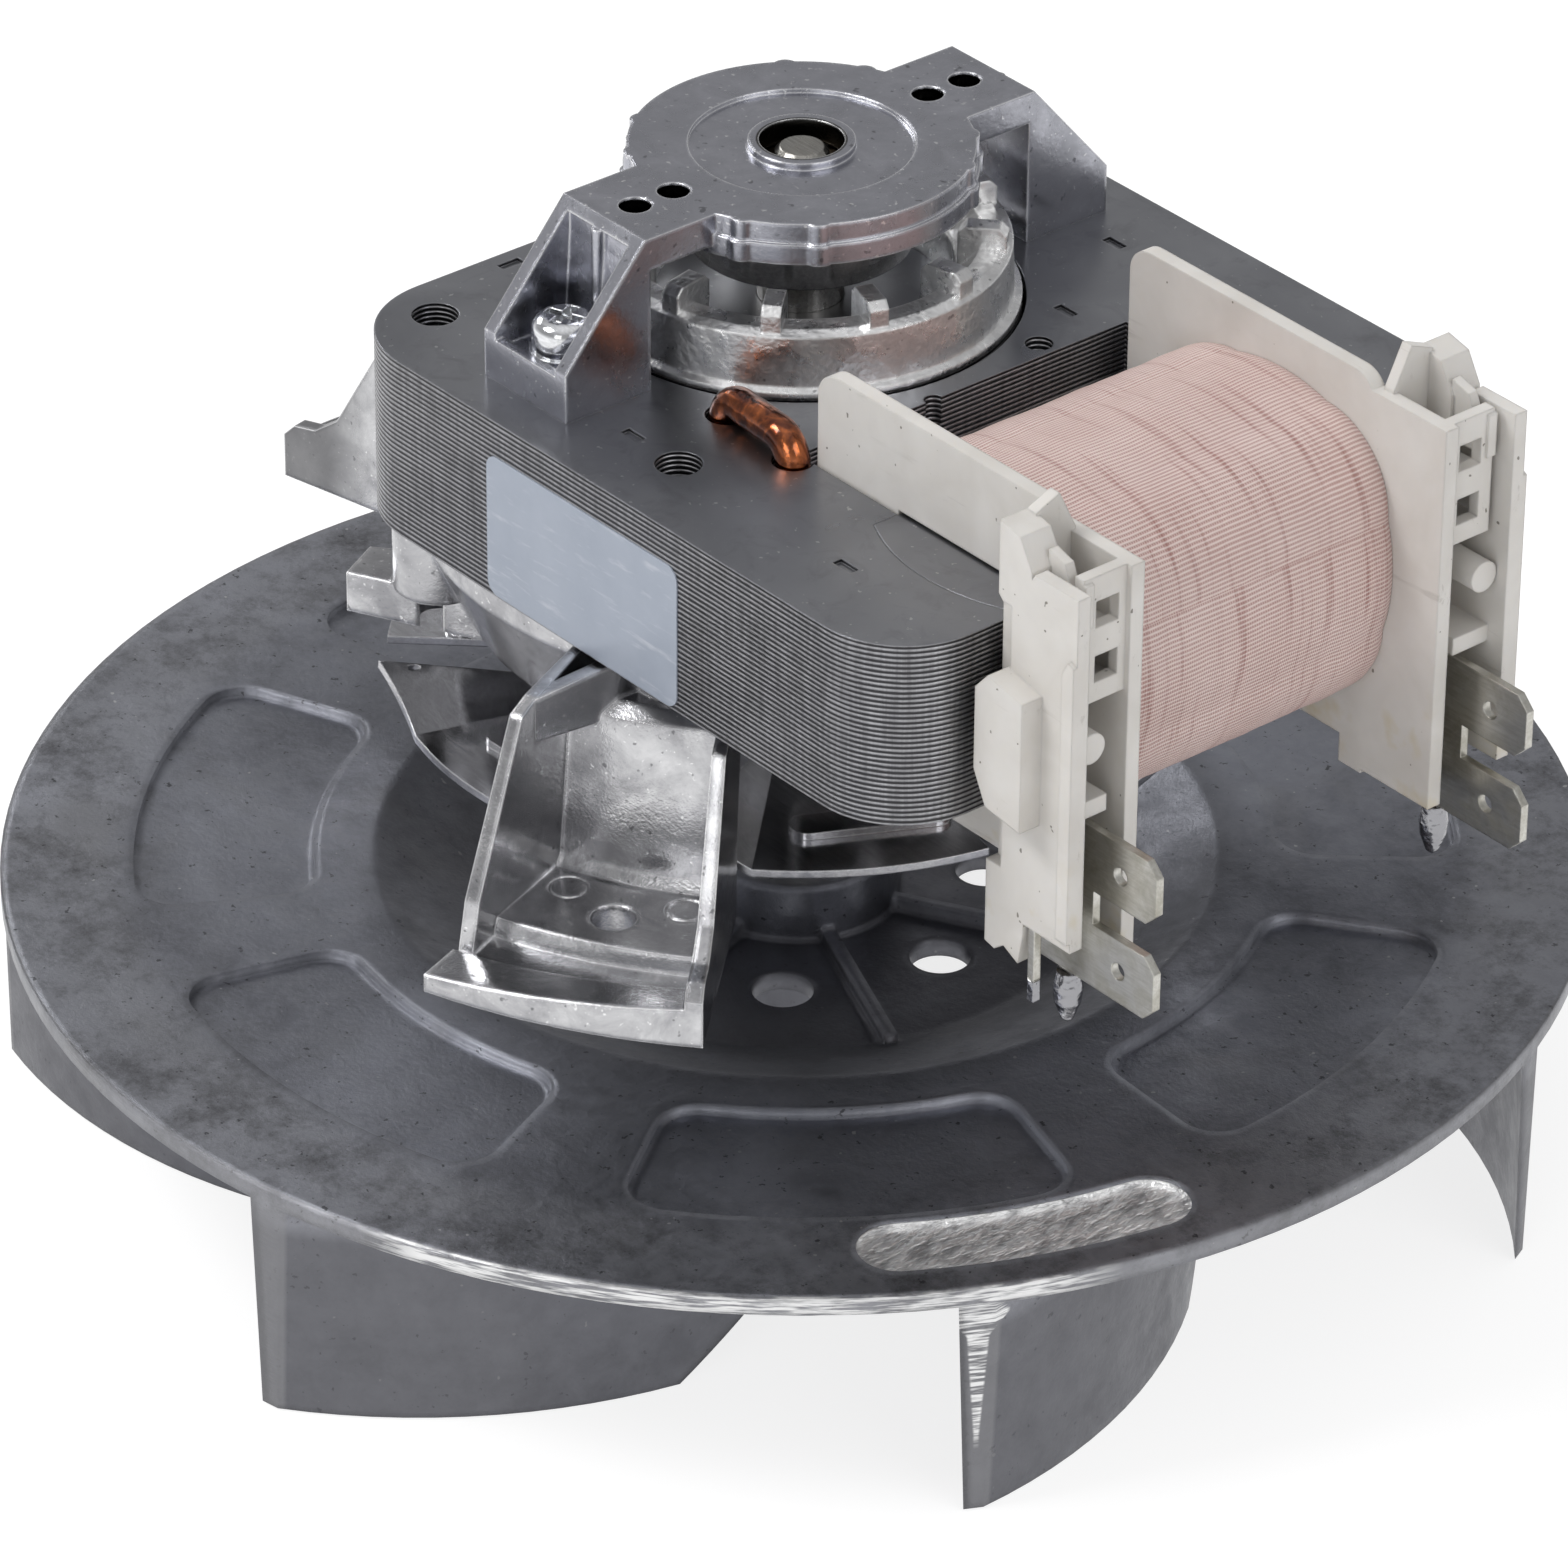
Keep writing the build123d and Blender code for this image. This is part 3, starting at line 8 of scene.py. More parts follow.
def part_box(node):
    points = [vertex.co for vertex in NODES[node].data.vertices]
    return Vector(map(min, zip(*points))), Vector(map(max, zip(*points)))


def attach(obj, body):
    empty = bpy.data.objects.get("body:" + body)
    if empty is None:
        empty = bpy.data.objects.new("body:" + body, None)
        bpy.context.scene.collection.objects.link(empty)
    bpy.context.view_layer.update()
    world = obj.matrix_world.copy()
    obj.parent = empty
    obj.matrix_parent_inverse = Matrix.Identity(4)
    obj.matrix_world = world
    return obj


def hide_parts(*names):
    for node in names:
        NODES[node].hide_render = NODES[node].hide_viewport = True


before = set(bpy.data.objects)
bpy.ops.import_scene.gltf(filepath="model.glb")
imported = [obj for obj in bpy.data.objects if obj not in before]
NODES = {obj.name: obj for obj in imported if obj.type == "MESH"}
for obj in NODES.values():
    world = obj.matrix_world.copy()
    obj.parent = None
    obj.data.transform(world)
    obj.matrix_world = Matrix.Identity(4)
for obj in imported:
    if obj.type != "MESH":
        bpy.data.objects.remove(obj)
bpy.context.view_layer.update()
MM = 0.001

# Camera: where it stands, what it looks at, its roll and lens.
CAMERA_DISTANCE = 0.82029
CAMERA_TARGET = Vector((0.0159, -0.0148, 0.0437))
CAMERA_LOOK = Vector((-0.65219, 0.54497, -0.52694)).normalized()
CAMERA_ROLL_DEG = 0.433
CAMERA_LENS = 206.3
CAMERA_SENSOR = 36.0
CAMERA_CLIP = (0.05, 20.0)

# Lamps: name, position, size, power. All of them point at one place.
LAMPS = (
    ("key", (-0.5, -0.9, 1.3), (0.6, 0.6), 12.5),
    ("fill", (1.2, 0.1, 0.8), (0.9, 0.6), 3.6),
    ("front", (0.55, -1.05, 0.55), (0.5, 0.5), 1.5),
    ("rim", (-1.35, 0.0, 0.80), (0.7, 0.4), 5.4),
)
LAMP_TARGET = Vector((0.0, 0.0, 0.05))

# World: its level, and the grey it has at each height from the horizon (0) to the zenith (1).
WORLD_LEVEL = 0.85
WORLD_RAMP = ((0.0, 0.9), (0.10, 0.85), (0.24, 0.46), (0.60, 0.44), (0.78, 0.62), (1.0, 1.0))

# Floor: its size, its depth below the object and the glow that keeps it pale.
FLOOR_SIZE = 8.0
FLOOR_DROP = 0.2 * MM
FLOOR_GLOW = 1.15
FLOOR_GLOW_SHARE = 0.7

# Stack: height of one sheet.
SHEET_PITCH = 0.5 * MM

# Winding: its section, its rows, the soft drop at both ends, its ripples and its weave.
COIL_CORNER_R = 8.6 * MM
COIL_CORNER_STEPS = 14
COIL_SIDE_STEPS = 26
COIL_CROWN = 0.9 * MM
COIL_INSET = 0.12 * MM
COIL_ROWS = 44
COIL_END_SHARE = 0.045
COIL_END_DROP = 0.5 * MM
COIL_RIPPLE = 0.10 * MM
COIL_RIPPLE_SCALE = (20, 420)
RIB_PITCH = 0.44 * MM
THREAD_PITCH = 0.26 * MM

# Label: its place on the stack's side.
LABEL_X = (0.3 * MM, 27.2 * MM)
LABEL_Z = (65.2 * MM, 79.5 * MM)
LABEL_CORNER_R = 1.4 * MM
LABEL_CORNER_STEPS = 6
LABEL_T = 0.12 * MM
LABEL_SINK = 0.01 * MM

# Terminals: the zone of the solder drops.
SOLDER_X = (61.6 * MM, 64.6 * MM)
SOLDER_Z = (44.0 * MM, 50.2 * MM)

# Bobbin: below these heights it is a little yellow.
YELLOW_Z = (58.0 * MM, 66.0 * MM)

# Cooling fan: its number of points, where the first bent one starts, and the share of its span that
# is kept. Everything inside the ring radius stays as it is.
FAN_POINTS = 6
FAN_RING_R = 16.5 * MM
FAN_START_DEG = -46.0
FAN_POINT_DEG = 25.5
FAN_POINT_SHARE = 0.45

# Castings: how far the painted highlight on sharp edges reaches, and where the painted shade on the
# lower bracket's foot sets in.
EDGE_HIGHLIGHT_R = 0.35 * MM
FOOT_SHADE_X = (-50.0 * MM, -56.0 * MM)

# Top bracket: the collar's bore and the blind holes in the arms, painted dark inside as shade, with
# dark oil in the bore.
COLLAR_BORE_R = 4.1 * MM
ARM_HOLE_R = 1.55 * MM
ARM_HOLE_Y = (14.9 * MM, 19.3 * MM)
ARM_HOLE_Z = (95.9 * MM, 98.1 * MM)

# Shaft: its end stands this much higher in the collar.
SHAFT_END_Z = 95.5 * MM
SHAFT_RISE = 1.6 * MM

# Impeller: its rim, the slope of its dish, which gets painted shade, and the balancing cut milled
# into it.
RIM_R = 74.6 * MM
DISH_R = (29.0 * MM, 39.0 * MM)
CUT_R = 67.5 * MM
CUT_HALF_W = 3.9 * MM
CUT_DEG = -22.0
CUT_HALF_SPAN_DEG = 13.4
CUT_FLOOR_Z = 23.1 * MM

# Impeller: the turned part of its rim and the blade end turned with it, where the bright skin is a
# wedge that grows with the height and flares under the rim. Its widths are half widths.
TURNED_RIM_DEG = (-66.0, -22.0)
TURNED_BLADE_DEG = -27.35
TURNED_BLADE_Z = (8.5 * MM, 22.0 * MM)
WEDGE_Z = (8.0 * MM, 19.0 * MM)
WEDGE_DEG = (0.25, 0.85)
FLARE_Z = (18.5 * MM, 22.0 * MM)
FLARE_DEG = 2.6


# Node helpers

def new_material(name):
    mat = bpy.data.materials.new(name)
    mat.use_nodes = True
    return mat, mat.node_tree, mat.node_tree.nodes["Principled BSDF"]


def feed(tree, socket, value):
    # Gives an input another node's output, or a plain value.
    if isinstance(value, bpy.types.NodeSocket):
        tree.links.new(value, socket)
    else:
        socket.default_value = value


def add(tree, kind, inputs=None, **settings):
    # One shader node with its settings and its inputs.
    made = tree.nodes.new(kind)
    for key, value in settings.items():
        setattr(made, key, value)
    for key, value in (inputs or {}).items():
        feed(tree, made.inputs[key], value)
    return made


def math_node(tree, operation, a, b=0.0):
    return add(tree, "ShaderNodeMath", {0: a, 1: b}, operation=operation).outputs[0]


def times(tree, first, *others):
    for other in others:
        first = math_node(tree, "MULTIPLY", first, other)
    return first


def apart(tree, a, b):
    return math_node(tree, "ABSOLUTE", math_node(tree, "SUBTRACT", a, b))


def map_range(tree, value, low, high, to_low=0.0, to_high=1.0, smooth=False):
    return add(
        tree, "ShaderNodeMapRange",
        {"Value": value, "From Min": low, "From Max": high, "To Min": to_low, "To Max": to_high},
        interpolation_type="SMOOTHSTEP" if smooth else "LINEAR",
    ).outputs["Result"]


def between(tree, value, low, high, soft):
    # 1 where the value lies between low and high, fading to 0 over the soft width outside.
    rise = map_range(tree, value, low - soft, low)
    fall = map_range(tree, value, high, high + soft, 1.0, 0.0)
    return times(tree, rise, fall)


def mix(tree, factor, a, b):
    # Colour a where the factor is 0, colour b where it is 1. A colour is an output or a tuple.
    made = add(tree, "ShaderNodeMix", {0: factor}, data_type="RGBA")
    for key, colour in ((6, a), (7, b)):
        feed(tree, made.inputs[key], (*colour, 1.0) if isinstance(colour, tuple) else colour)
    return made.outputs[2]


def stain(tree, tint, colour, mask, share):
    # Moves the tint toward a colour, by this share where the mask is 1.
    return mix(tree, times(tree, mask, share), tint, colour)


def blend_value(tree, factor, a, b):
    return add(tree, "ShaderNodeMix", {0: factor, 2: a, 3: b}).outputs[0]


def object_coords(tree):
    return add(tree, "ShaderNodeTexCoord").outputs["Object"]


def axes(tree, vector):
    return add(tree, "ShaderNodeSeparateXYZ", {"Vector": vector}).outputs


def polar(tree, x, y):
    # Distance from the motor's axis, and the angle round it.
    squares = math_node(tree, "ADD", times(tree, x, x), times(tree, y, y))
    return math_node(tree, "SQRT", squares), math_node(tree, "ARCTAN2", y, x)


def cloud(tree, coords, size, detail=4.0, rough=0.55, distortion=0.0):
    # Noise whose blotches are about this size, in metres.
    inputs = {
        "Vector": coords, "Scale": 1.0 / size,
        "Detail": detail, "Roughness": rough, "Distortion": distortion,
    }
    return add(tree, "ShaderNodeTexNoise", inputs).outputs["Fac"]


def blotches(tree, coords, size, low, high, detail=4.0, rough=0.55, distortion=0.0):
    # The same noise with its contrast raised: 0 below low, 1 above high.
    return map_range(tree, cloud(tree, coords, size, detail, rough, distortion), low, high)


def stretched(tree, coords, scale, turn_deg=0.0):
    inputs = {"Vector": coords, "Scale": scale, "Rotation": (0.0, 0.0, math.radians(turn_deg))}
    return add(tree, "ShaderNodeMapping", inputs).outputs["Vector"]


def bump(tree, height, distance, strength=1.0, normal=None):
    inputs = {"Height": height, "Distance": distance, "Strength": strength}
    if normal is not None:
        inputs["Normal"] = normal
    return add(tree, "ShaderNodeBump", inputs).outputs["Normal"]


def soft_edges(tree, radius, samples=4):
    return add(tree, "ShaderNodeBevel", {"Radius": radius}, samples=samples).outputs["Normal"]


def edge_mask(tree, radius):
    # 1 along sharp edges, where the rounded normal leaves the true one.
    true = add(tree, "ShaderNodeNewGeometry").outputs["True Normal"]
    both = {0: soft_edges(tree, radius, 8), 1: true}
    same = add(tree, "ShaderNodeVectorMath", both, operation="DOT_PRODUCT").outputs["Value"]
    return map_range(tree, same, 0.80, 0.97, 1.0, 0.0)


def finish_material(tree, bsdf, tint, rough, normal, metallic=1.0):
    feed(tree, bsdf.inputs["Base Color"], tint)
    feed(tree, bsdf.inputs["Roughness"], rough)
    feed(tree, bsdf.inputs["Normal"], normal)
    feed(tree, bsdf.inputs["Metallic"], metallic)


# Masks: 1 at one place of a casting, 0 elsewhere

def top_hole_mask(tree, coords):
    # 1 in the collar's bore and in the arms' blind holes, where painted shade goes.
    place = axes(tree, coords)
    radius = polar(tree, place["X"], place["Y"])[0]
    inside = map_range(tree, radius, COLLAR_BORE_R, COLLAR_BORE_R + 0.1 * MM, 1.0, 0.0)
    depth = between(tree, place["Z"], *ARM_HOLE_Z, 0.1 * MM)
    for hole_y in ARM_HOLE_Y:
        y = math_node(tree, "SUBTRACT", math_node(tree, "ABSOLUTE", place["Y"]), hole_y)
        radius = polar(tree, place["X"], y)[0]
        near = map_range(tree, radius, ARM_HOLE_R, ARM_HOLE_R + 0.05 * MM, 1.0, 0.0)
        inside = math_node(tree, "MAXIMUM", inside, times(tree, near, depth))
    return inside


def milled_mask(tree, radius, angle, z):
    # 1 on the floor and the low walls of the balancing cut.
    off = apart(tree, angle, math.radians(CUT_DEG))
    half_span = math.radians(CUT_HALF_SPAN_DEG)
    along = map_range(tree, off, half_span, half_span + math.radians(0.2), 1.0, 0.0)
    across = between(tree, radius, CUT_R - CUT_HALF_W, CUT_R + CUT_HALF_W, 0.1 * MM)
    depth = between(tree, z, CUT_FLOOR_Z - 0.2 * MM, CUT_FLOOR_Z + 0.5 * MM, 0.1 * MM)
    return times(tree, along, across, depth)


def turned_blade_mask(tree, radius, angle, z):
    # 1 in a wedge down the end of one blade, narrow below and flared under the rim.
    off = apart(tree, angle, math.radians(TURNED_BLADE_DEG))
    narrow, wide = (math.radians(half) for half in WEDGE_DEG)
    wedge = map_range(tree, z, *WEDGE_Z, narrow, wide)
    flare = map_range(tree, z, *FLARE_Z, 0.0, math.radians(FLARE_DEG), smooth=True)
    room = math_node(tree, "SUBTRACT", math_node(tree, "ADD", wedge, flare), off)
    across = map_range(tree, room, 0.0, math.radians(0.15))
    height = between(tree, z, *TURNED_BLADE_Z, 2.0 * MM)
    outside = map_range(tree, radius, RIM_R - 0.4 * MM, RIM_R - 0.2 * MM)
    return times(tree, across, height, outside)


# Materials

def cast_metal(name, dark, light, blotch, rough, grain, grain_depth,
               edge=0.35 * MM, lumps=0.0, foot_shade_x=None, hole_shade=False, edge_highlight=0.0):
    # Cast light alloy: cloudy skin, fine pitting, bright specks, rounded edges that catch the light
    # and a painted highlight on sharp edges; where asked, painted shade on a foot's end and in
    # holes.
    mat, tree, bsdf = new_material(name)
    coords = object_coords(tree)
    clouds = blotches(tree, coords, blotch, 0.34, 0.66, 6.0, 0.62, 0.4)
    smears = blotches(tree, coords, blotch * 3.0, 0.35, 0.65, 3.0, 0.5, 0.6)
    bright = blotches(tree, coords, grain * 1.6, 0.66, 0.72, 2.0, 0.6)
    soot = blotches(tree, coords, grain * 2.6, 0.69, 0.74, 2.0, 0.5)
    tint = mix(tree, clouds, dark, light)
    tint = stain(tree, tint, dark, smears, 0.35)
    tint = stain(tree, tint, (0.95, 0.95, 0.95), bright, 0.6)
    tint = stain(tree, tint, (0.05, 0.05, 0.055), soot, 0.55)
    roughness = map_range(tree, clouds, 0.0, 1.0, rough[1], rough[0])
    # Painted shade: the lower bracket's foot end is darkened and roughened past this x range.
    if foot_shade_x:
        foot_shade = map_range(tree, axes(tree, coords)["X"], *foot_shade_x)
        tint = stain(tree, tint, (0.17, 0.17, 0.175), foot_shade, 0.8)
        roughness = blend_value(tree, foot_shade, roughness, 0.42)
    # Painted shade in the holes, with dark oil in the collar's bore.
    if hole_shade:
        tint = mix(tree, top_hole_mask(tree, coords), tint, (0.035, 0.034, 0.032))
    # Painted highlight: sharp edges lightened toward white.
    if edge_highlight:
        tint = stain(tree, tint, (0.95, 0.95, 0.96), edge_mask(tree, EDGE_HIGHLIGHT_R), edge_highlight)
    fine = cloud(tree, coords, grain, 2.0, 0.5)
    normal = bump(tree, fine, grain_depth, 0.6, soft_edges(tree, edge))
    normal = bump(tree, cloud(tree, coords, blotch * 0.3, 3.0), grain_depth * 2.0, 0.4, normal)
    if lumps:
        normal = bump(tree, cloud(tree, coords, 3.6 * MM, 3.0, 0.45), lumps, 0.9, normal)
    finish_material(tree, bsdf, tint, roughness, normal)
    return mat


def stack_material():
    # Sheared sheet edges on the sides, smooth rolled faces with scratches on top.
    mat, tree, bsdf = new_material("stack_sheets")
    texture = add(tree, "ShaderNodeTexCoord")
    coords = texture.outputs["Object"]
    level = math_node(tree, "ABSOLUTE", axes(tree, texture.outputs["Normal"])["Z"])
    side = map_range(tree, level, 0.4, 0.8, 1.0, 0.0)

    wobble = cloud(tree, stretched(tree, coords, (1.0, 1.0, 4.0)), 6.0 * MM, 3.0)
    height = math_node(tree, "ADD", axes(tree, coords)["Z"], times(tree, wobble, 0.16 * MM))
    wave = math_node(tree, "SINE", times(tree, height, 2.0 * math.pi / SHEET_PITCH))
    ridge = map_range(tree, wave, -0.75, 0.55, smooth=True)
    drag = blotches(tree, stretched(tree, coords, (1.0, 1.0, 0.05)), 0.4 * MM, 0.3, 0.7, 3.0)
    patches = blotches(tree, stretched(tree, coords, (1.0, 1.0, 3.0)), 5.0 * MM, 0.35, 0.65, 3.0)
    edge_light = mix(tree, drag, (0.23, 0.23, 0.24), (0.41, 0.41, 0.43))
    edge_light = stain(tree, edge_light, (0.55, 0.55, 0.57), patches, 0.3)
    edge_tint = mix(tree, ridge, (0.055, 0.054, 0.057), edge_light)

    clouds = blotches(tree, coords, 14.0 * MM, 0.3, 0.7, 4.0, 0.5, 0.3)
    oil = blotches(tree, coords, 3.5 * MM, 0.52, 0.75, 5.0, 0.65, 0.8)
    spots = blotches(tree, coords, 0.6 * MM, 0.72, 0.76, 2.0, 0.4)
    face_tint = mix(tree, clouds, (0.25, 0.255, 0.275), (0.33, 0.335, 0.355))
    face_tint = stain(tree, face_tint, (0.14, 0.14, 0.15), oil, 0.35)
    face_tint = stain(tree, face_tint, (0.62, 0.62, 0.63), spots, 0.6)

    rough = blend_value(tree, side, map_range(tree, clouds, 0.0, 1.0, 0.27, 0.36), 0.40)
    normal = bump(tree, times(tree, wave, side), 0.07 * MM, 0.8, soft_edges(tree, 0.25 * MM))
    scratch = cloud(tree, stretched(tree, coords, (0.10, 1.0, 1.0)), 0.35 * MM, 2.0)
    normal = bump(tree, scratch, 0.010 * MM, 0.22, normal)
    finish_material(tree, bsdf, mix(tree, side, face_tint, edge_tint), rough, normal)
    return mat


def impeller_material():
    # Dark bluish casting, sooty near the rim, with a part-turned rim, a fresh milled cut, and
    # painted shade on the dish's slope and under the disc.
    mat, tree, bsdf = new_material("impeller_casting")
    coords = object_coords(tree)
    place = axes(tree, coords)
    z = place["Z"]
    radius, angle = polar(tree, place["X"], place["Y"])

    wide = blotches(tree, coords, 34.0 * MM, 0.36, 0.64, 4.0, 0.55, 0.9)
    small = blotches(tree, coords, 4.2 * MM, 0.36, 0.64, 7.0, 0.72, 0.2)
    warm = blotches(tree, coords, 15.0 * MM, 0.55, 0.75, 4.0, 0.6, 0.5)
    soot = blotches(tree, coords, 7.0 * MM, 0.46, 0.68, 9.0, 0.82)
    pits = blotches(tree, coords, 0.9 * MM, 0.66, 0.71, 3.0, 0.6)
    specks = blotches(tree, coords, 0.75 * MM, 0.79, 0.82, 1.0, 0.3)
    outer = map_range(tree, radius, 61.0 * MM, 66.0 * MM, smooth=True)
    sooty = map_range(tree, radius, 50.0 * MM, 70.0 * MM, smooth=True)
    on_top = map_range(tree, z, 20.0 * MM, 22.0 * MM, 0.25, 1.0)
    dish_shade = between(tree, radius, *DISH_R, 5.0 * MM)
    below = map_range(tree, z, 19.0 * MM, 22.0 * MM, 0.75, 0.0)
    tint = mix(tree, wide, (0.148, 0.152, 0.173), (0.268, 0.277, 0.315))
    tint = stain(tree, tint, (0.36, 0.37, 0.41), small, 0.45)
    tint = stain(tree, tint, (0.17, 0.165, 0.155), warm, 0.35)
    tint = stain(tree, tint, (0.36, 0.365, 0.39), outer, 0.40)
    tint = stain(tree, tint, (0.05, 0.049, 0.05), times(tree, soot, sooty, on_top), 0.75)
    tint = stain(tree, tint, (0.025, 0.025, 0.027), pits, 0.7)
    tint = stain(tree, tint, (0.60, 0.60, 0.60), specks, 0.6)
    # Painted shade on the dish's slope.
    tint = stain(tree, tint, (0.07, 0.071, 0.078), dish_shade, 0.55)
    # Painted shade under the disc: the blades are darkened below it.
    tint = mix(tree, below, tint, (0.10, 0.10, 0.11))

    lathe = cloud(tree, stretched(tree, coords, (0.06, 0.06, 1.0)), 0.28 * MM, 3.0, 0.6)
    edge = map_range(tree, radius, RIM_R, RIM_R + 0.2 * MM)
    start, end = (math.radians(limit) for limit in TURNED_RIM_DEG)
    patch = between(tree, angle, start, end, math.radians(5.0))
    on_disc = map_range(tree, z, 21.0 * MM, 22.0 * MM)
    turned_rim = times(tree, edge, patch, on_disc)
    turned_blade = turned_blade_mask(tree, radius, angle, z)
    turned = math_node(tree, "MAXIMUM", turned_rim, turned_blade)
    turned = times(tree, turned, map_range(tree, lathe, 0.42, 0.58))
    tint = stain(tree, tint, (0.26, 0.26, 0.27), edge, 0.5)
    tint = mix(tree, turned, tint, (0.80, 0.80, 0.80))

    cut = milled_mask(tree, radius, angle, z)
    passes = cloud(tree, stretched(tree, coords, (1.0, 0.35, 1.0), 25.0), 1.1 * MM, 3.0, 0.6)
    shine = map_range(tree, passes, 0.35, 0.55)
    tint = mix(tree, cut, tint, mix(tree, shine, (0.48, 0.48, 0.49), (0.97, 0.97, 0.97)))

    rough = map_range(tree, small, 0.0, 1.0, 0.47, 0.33)
    rough = blend_value(tree, math_node(tree, "MAXIMUM", turned, cut), rough, 0.34)
    fine = cloud(tree, coords, 0.5 * MM, 3.0)
    normal = bump(tree, fine, 0.04 * MM, 0.5, soft_edges(tree, 1.2 * MM))
    normal = bump(tree, small, 0.10 * MM, 0.30, normal)
    normal = bump(tree, times(tree, lathe, edge), 0.10 * MM, 0.6, normal)
    normal = bump(tree, times(tree, passes, cut), 0.8 * MM, 1.0, normal)
    finish_material(tree, bsdf, tint, rough, normal)
    return mat


def plastic_material():
    # Ivory moulding: slightly translucent, faint flow clouds, pencil-thin scuffs, specks of dirt.
    mat, tree, bsdf = new_material("ivory_moulding")
    coords = object_coords(tree)
    clouds = blotches(tree, coords, 7.0 * MM, 0.3, 0.7, 4.0, 0.5, 0.4)
    yellow = blotches(tree, coords, 4.0 * MM, 0.55, 0.75, 3.0, 0.5)
    low = map_range(tree, axes(tree, coords)["Z"], *YELLOW_Z, 0.8, 0.0)
    along = stretched(tree, coords, (0.05, 1.0, 0.5), 12.0)
    scuffs = blotches(tree, along, 0.9 * MM, 0.60, 0.68, 4.0, 0.7, 0.3)
    scuffed = blotches(tree, coords, 9.0 * MM, 0.48, 0.60, 2.0)
    dirt = blotches(tree, coords, 0.8 * MM, 0.775, 0.80, 1.0, 0.3)
    tint = mix(tree, clouds, (0.585, 0.56, 0.525), (0.67, 0.65, 0.62))
    tint = stain(tree, tint, (0.55, 0.47, 0.30), yellow, low)
    tint = stain(tree, tint, (0.28, 0.25, 0.22), times(tree, scuffs, scuffed), 0.32)
    tint = stain(tree, tint, (0.10, 0.085, 0.06), dirt, 0.8)
    fine = cloud(tree, coords, 0.45 * MM, 2.0)
    normal = bump(tree, fine, 0.02 * MM, 0.4, soft_edges(tree, 0.3 * MM))
    finish_material(tree, bsdf, tint, map_range(tree, clouds, 0.0, 1.0, 0.38, 0.5), normal, 0.0)
    bsdf.inputs["Subsurface Weight"].default_value = 0.12
    bsdf.inputs["Subsurface Radius"].default_value = (0.0015, 0.0012, 0.0008)
    return mat


def winding_material():
    # Woven tape over pinkish wire: ribs along the coil, finer threads across, dark streaks, with
    # painted shade where the threads lie in the grooves and a painted highlight on the rib crests.
    mat, tree, bsdf = new_material("wrapped_winding")
    uv = add(tree, "ShaderNodeUVMap", uv_map="wrap").outputs["UV"]
    place = axes(tree, uv)
    drift = cloud(tree, uv, 9.0 * MM, 3.0)
    rib_phase = math_node(tree, "ADD", place["X"], times(tree, drift, 0.5 * MM))
    rib = math_node(tree, "SINE", times(tree, rib_phase, 2.0 * math.pi / RIB_PITCH))
    thread_phase = math_node(tree, "ADD", place["Y"], times(tree, drift, 0.7 * MM))
    thread = math_node(tree, "SINE", times(tree, thread_phase, 2.0 * math.pi / THREAD_PITCH))
    streaks = cloud(tree, stretched(tree, uv, (0.045, 1.0, 1.0)), 1.3 * MM, 4.0, 0.65)
    streak = map_range(tree, streaks, 0.53, 0.70, smooth=True)
    clouds = blotches(tree, uv, 8.0 * MM, 0.3, 0.7, 3.0)
    weave_shade = times(tree, map_range(tree, thread, -1.0, 1.0), map_range(tree, rib, 0.2, -0.9))
    tint = mix(tree, clouds, (0.58, 0.40, 0.365), (0.66, 0.49, 0.455))
    tint = stain(tree, tint, (0.33, 0.135, 0.11), streak, 0.80)
    # Painted shade where the threads lie in the grooves between ribs.
    tint = stain(tree, tint, (0.26, 0.12, 0.105), weave_shade, 0.70)
    # Painted highlight on the rib crests.
    tint = stain(tree, tint, (0.86, 0.80, 0.77), map_range(tree, rib, 0.15, 0.9), 0.5)
    height = math_node(tree, "ADD", rib, times(tree, thread, 0.35))
    finish_material(tree, bsdf, tint, 0.48, bump(tree, height, 0.05 * MM, 0.8), 0.0)
    return mat


def copper_material():
    # Dark enamelled copper, lumpy, with orange glints where the enamel is thin.
    mat, tree, bsdf = new_material("enamelled_copper")
    coords = object_coords(tree)
    clouds = blotches(tree, coords, 2.6 * MM, 0.42, 0.66, 4.0, 0.6, 0.7)
    tint = mix(tree, clouds, (0.12, 0.028, 0.010), (0.60, 0.17, 0.05))
    normal = bump(tree, cloud(tree, coords, 3.4 * MM, 3.0, 0.4), 0.8 * MM, 0.7)
    finish_material(tree, bsdf, tint, map_range(tree, clouds, 0.0, 1.0, 0.22, 0.14), normal)
    bsdf.inputs["Coat Weight"].default_value = 0.6
    bsdf.inputs["Coat Roughness"].default_value = 0.08
    return mat


def drawn_grain(tree, coords):
    return cloud(tree, stretched(tree, coords, (0.1, 1.0, 1.0)), 0.25 * MM, 3.0)


def sheet_metal(name, dark, light, rough, stain_tint):
    # Rolled or plated sheet: drawn grain, a little staining.
    mat, tree, bsdf = new_material(name)
    coords = object_coords(tree)
    drawn = drawn_grain(tree, coords)
    stains = blotches(tree, coords, 5.0 * MM, 0.45, 0.70, 4.0, 0.6, 0.5)
    tint = mix(tree, map_range(tree, drawn, 0.3, 0.7), dark, light)
    tint = stain(tree, tint, stain_tint, stains, 0.3)
    normal = bump(tree, drawn, 0.006 * MM, 0.3, soft_edges(tree, 0.2 * MM))
    finish_material(tree, bsdf, tint, map_range(tree, stains, 0.0, 1.0, *rough), normal)
    return mat


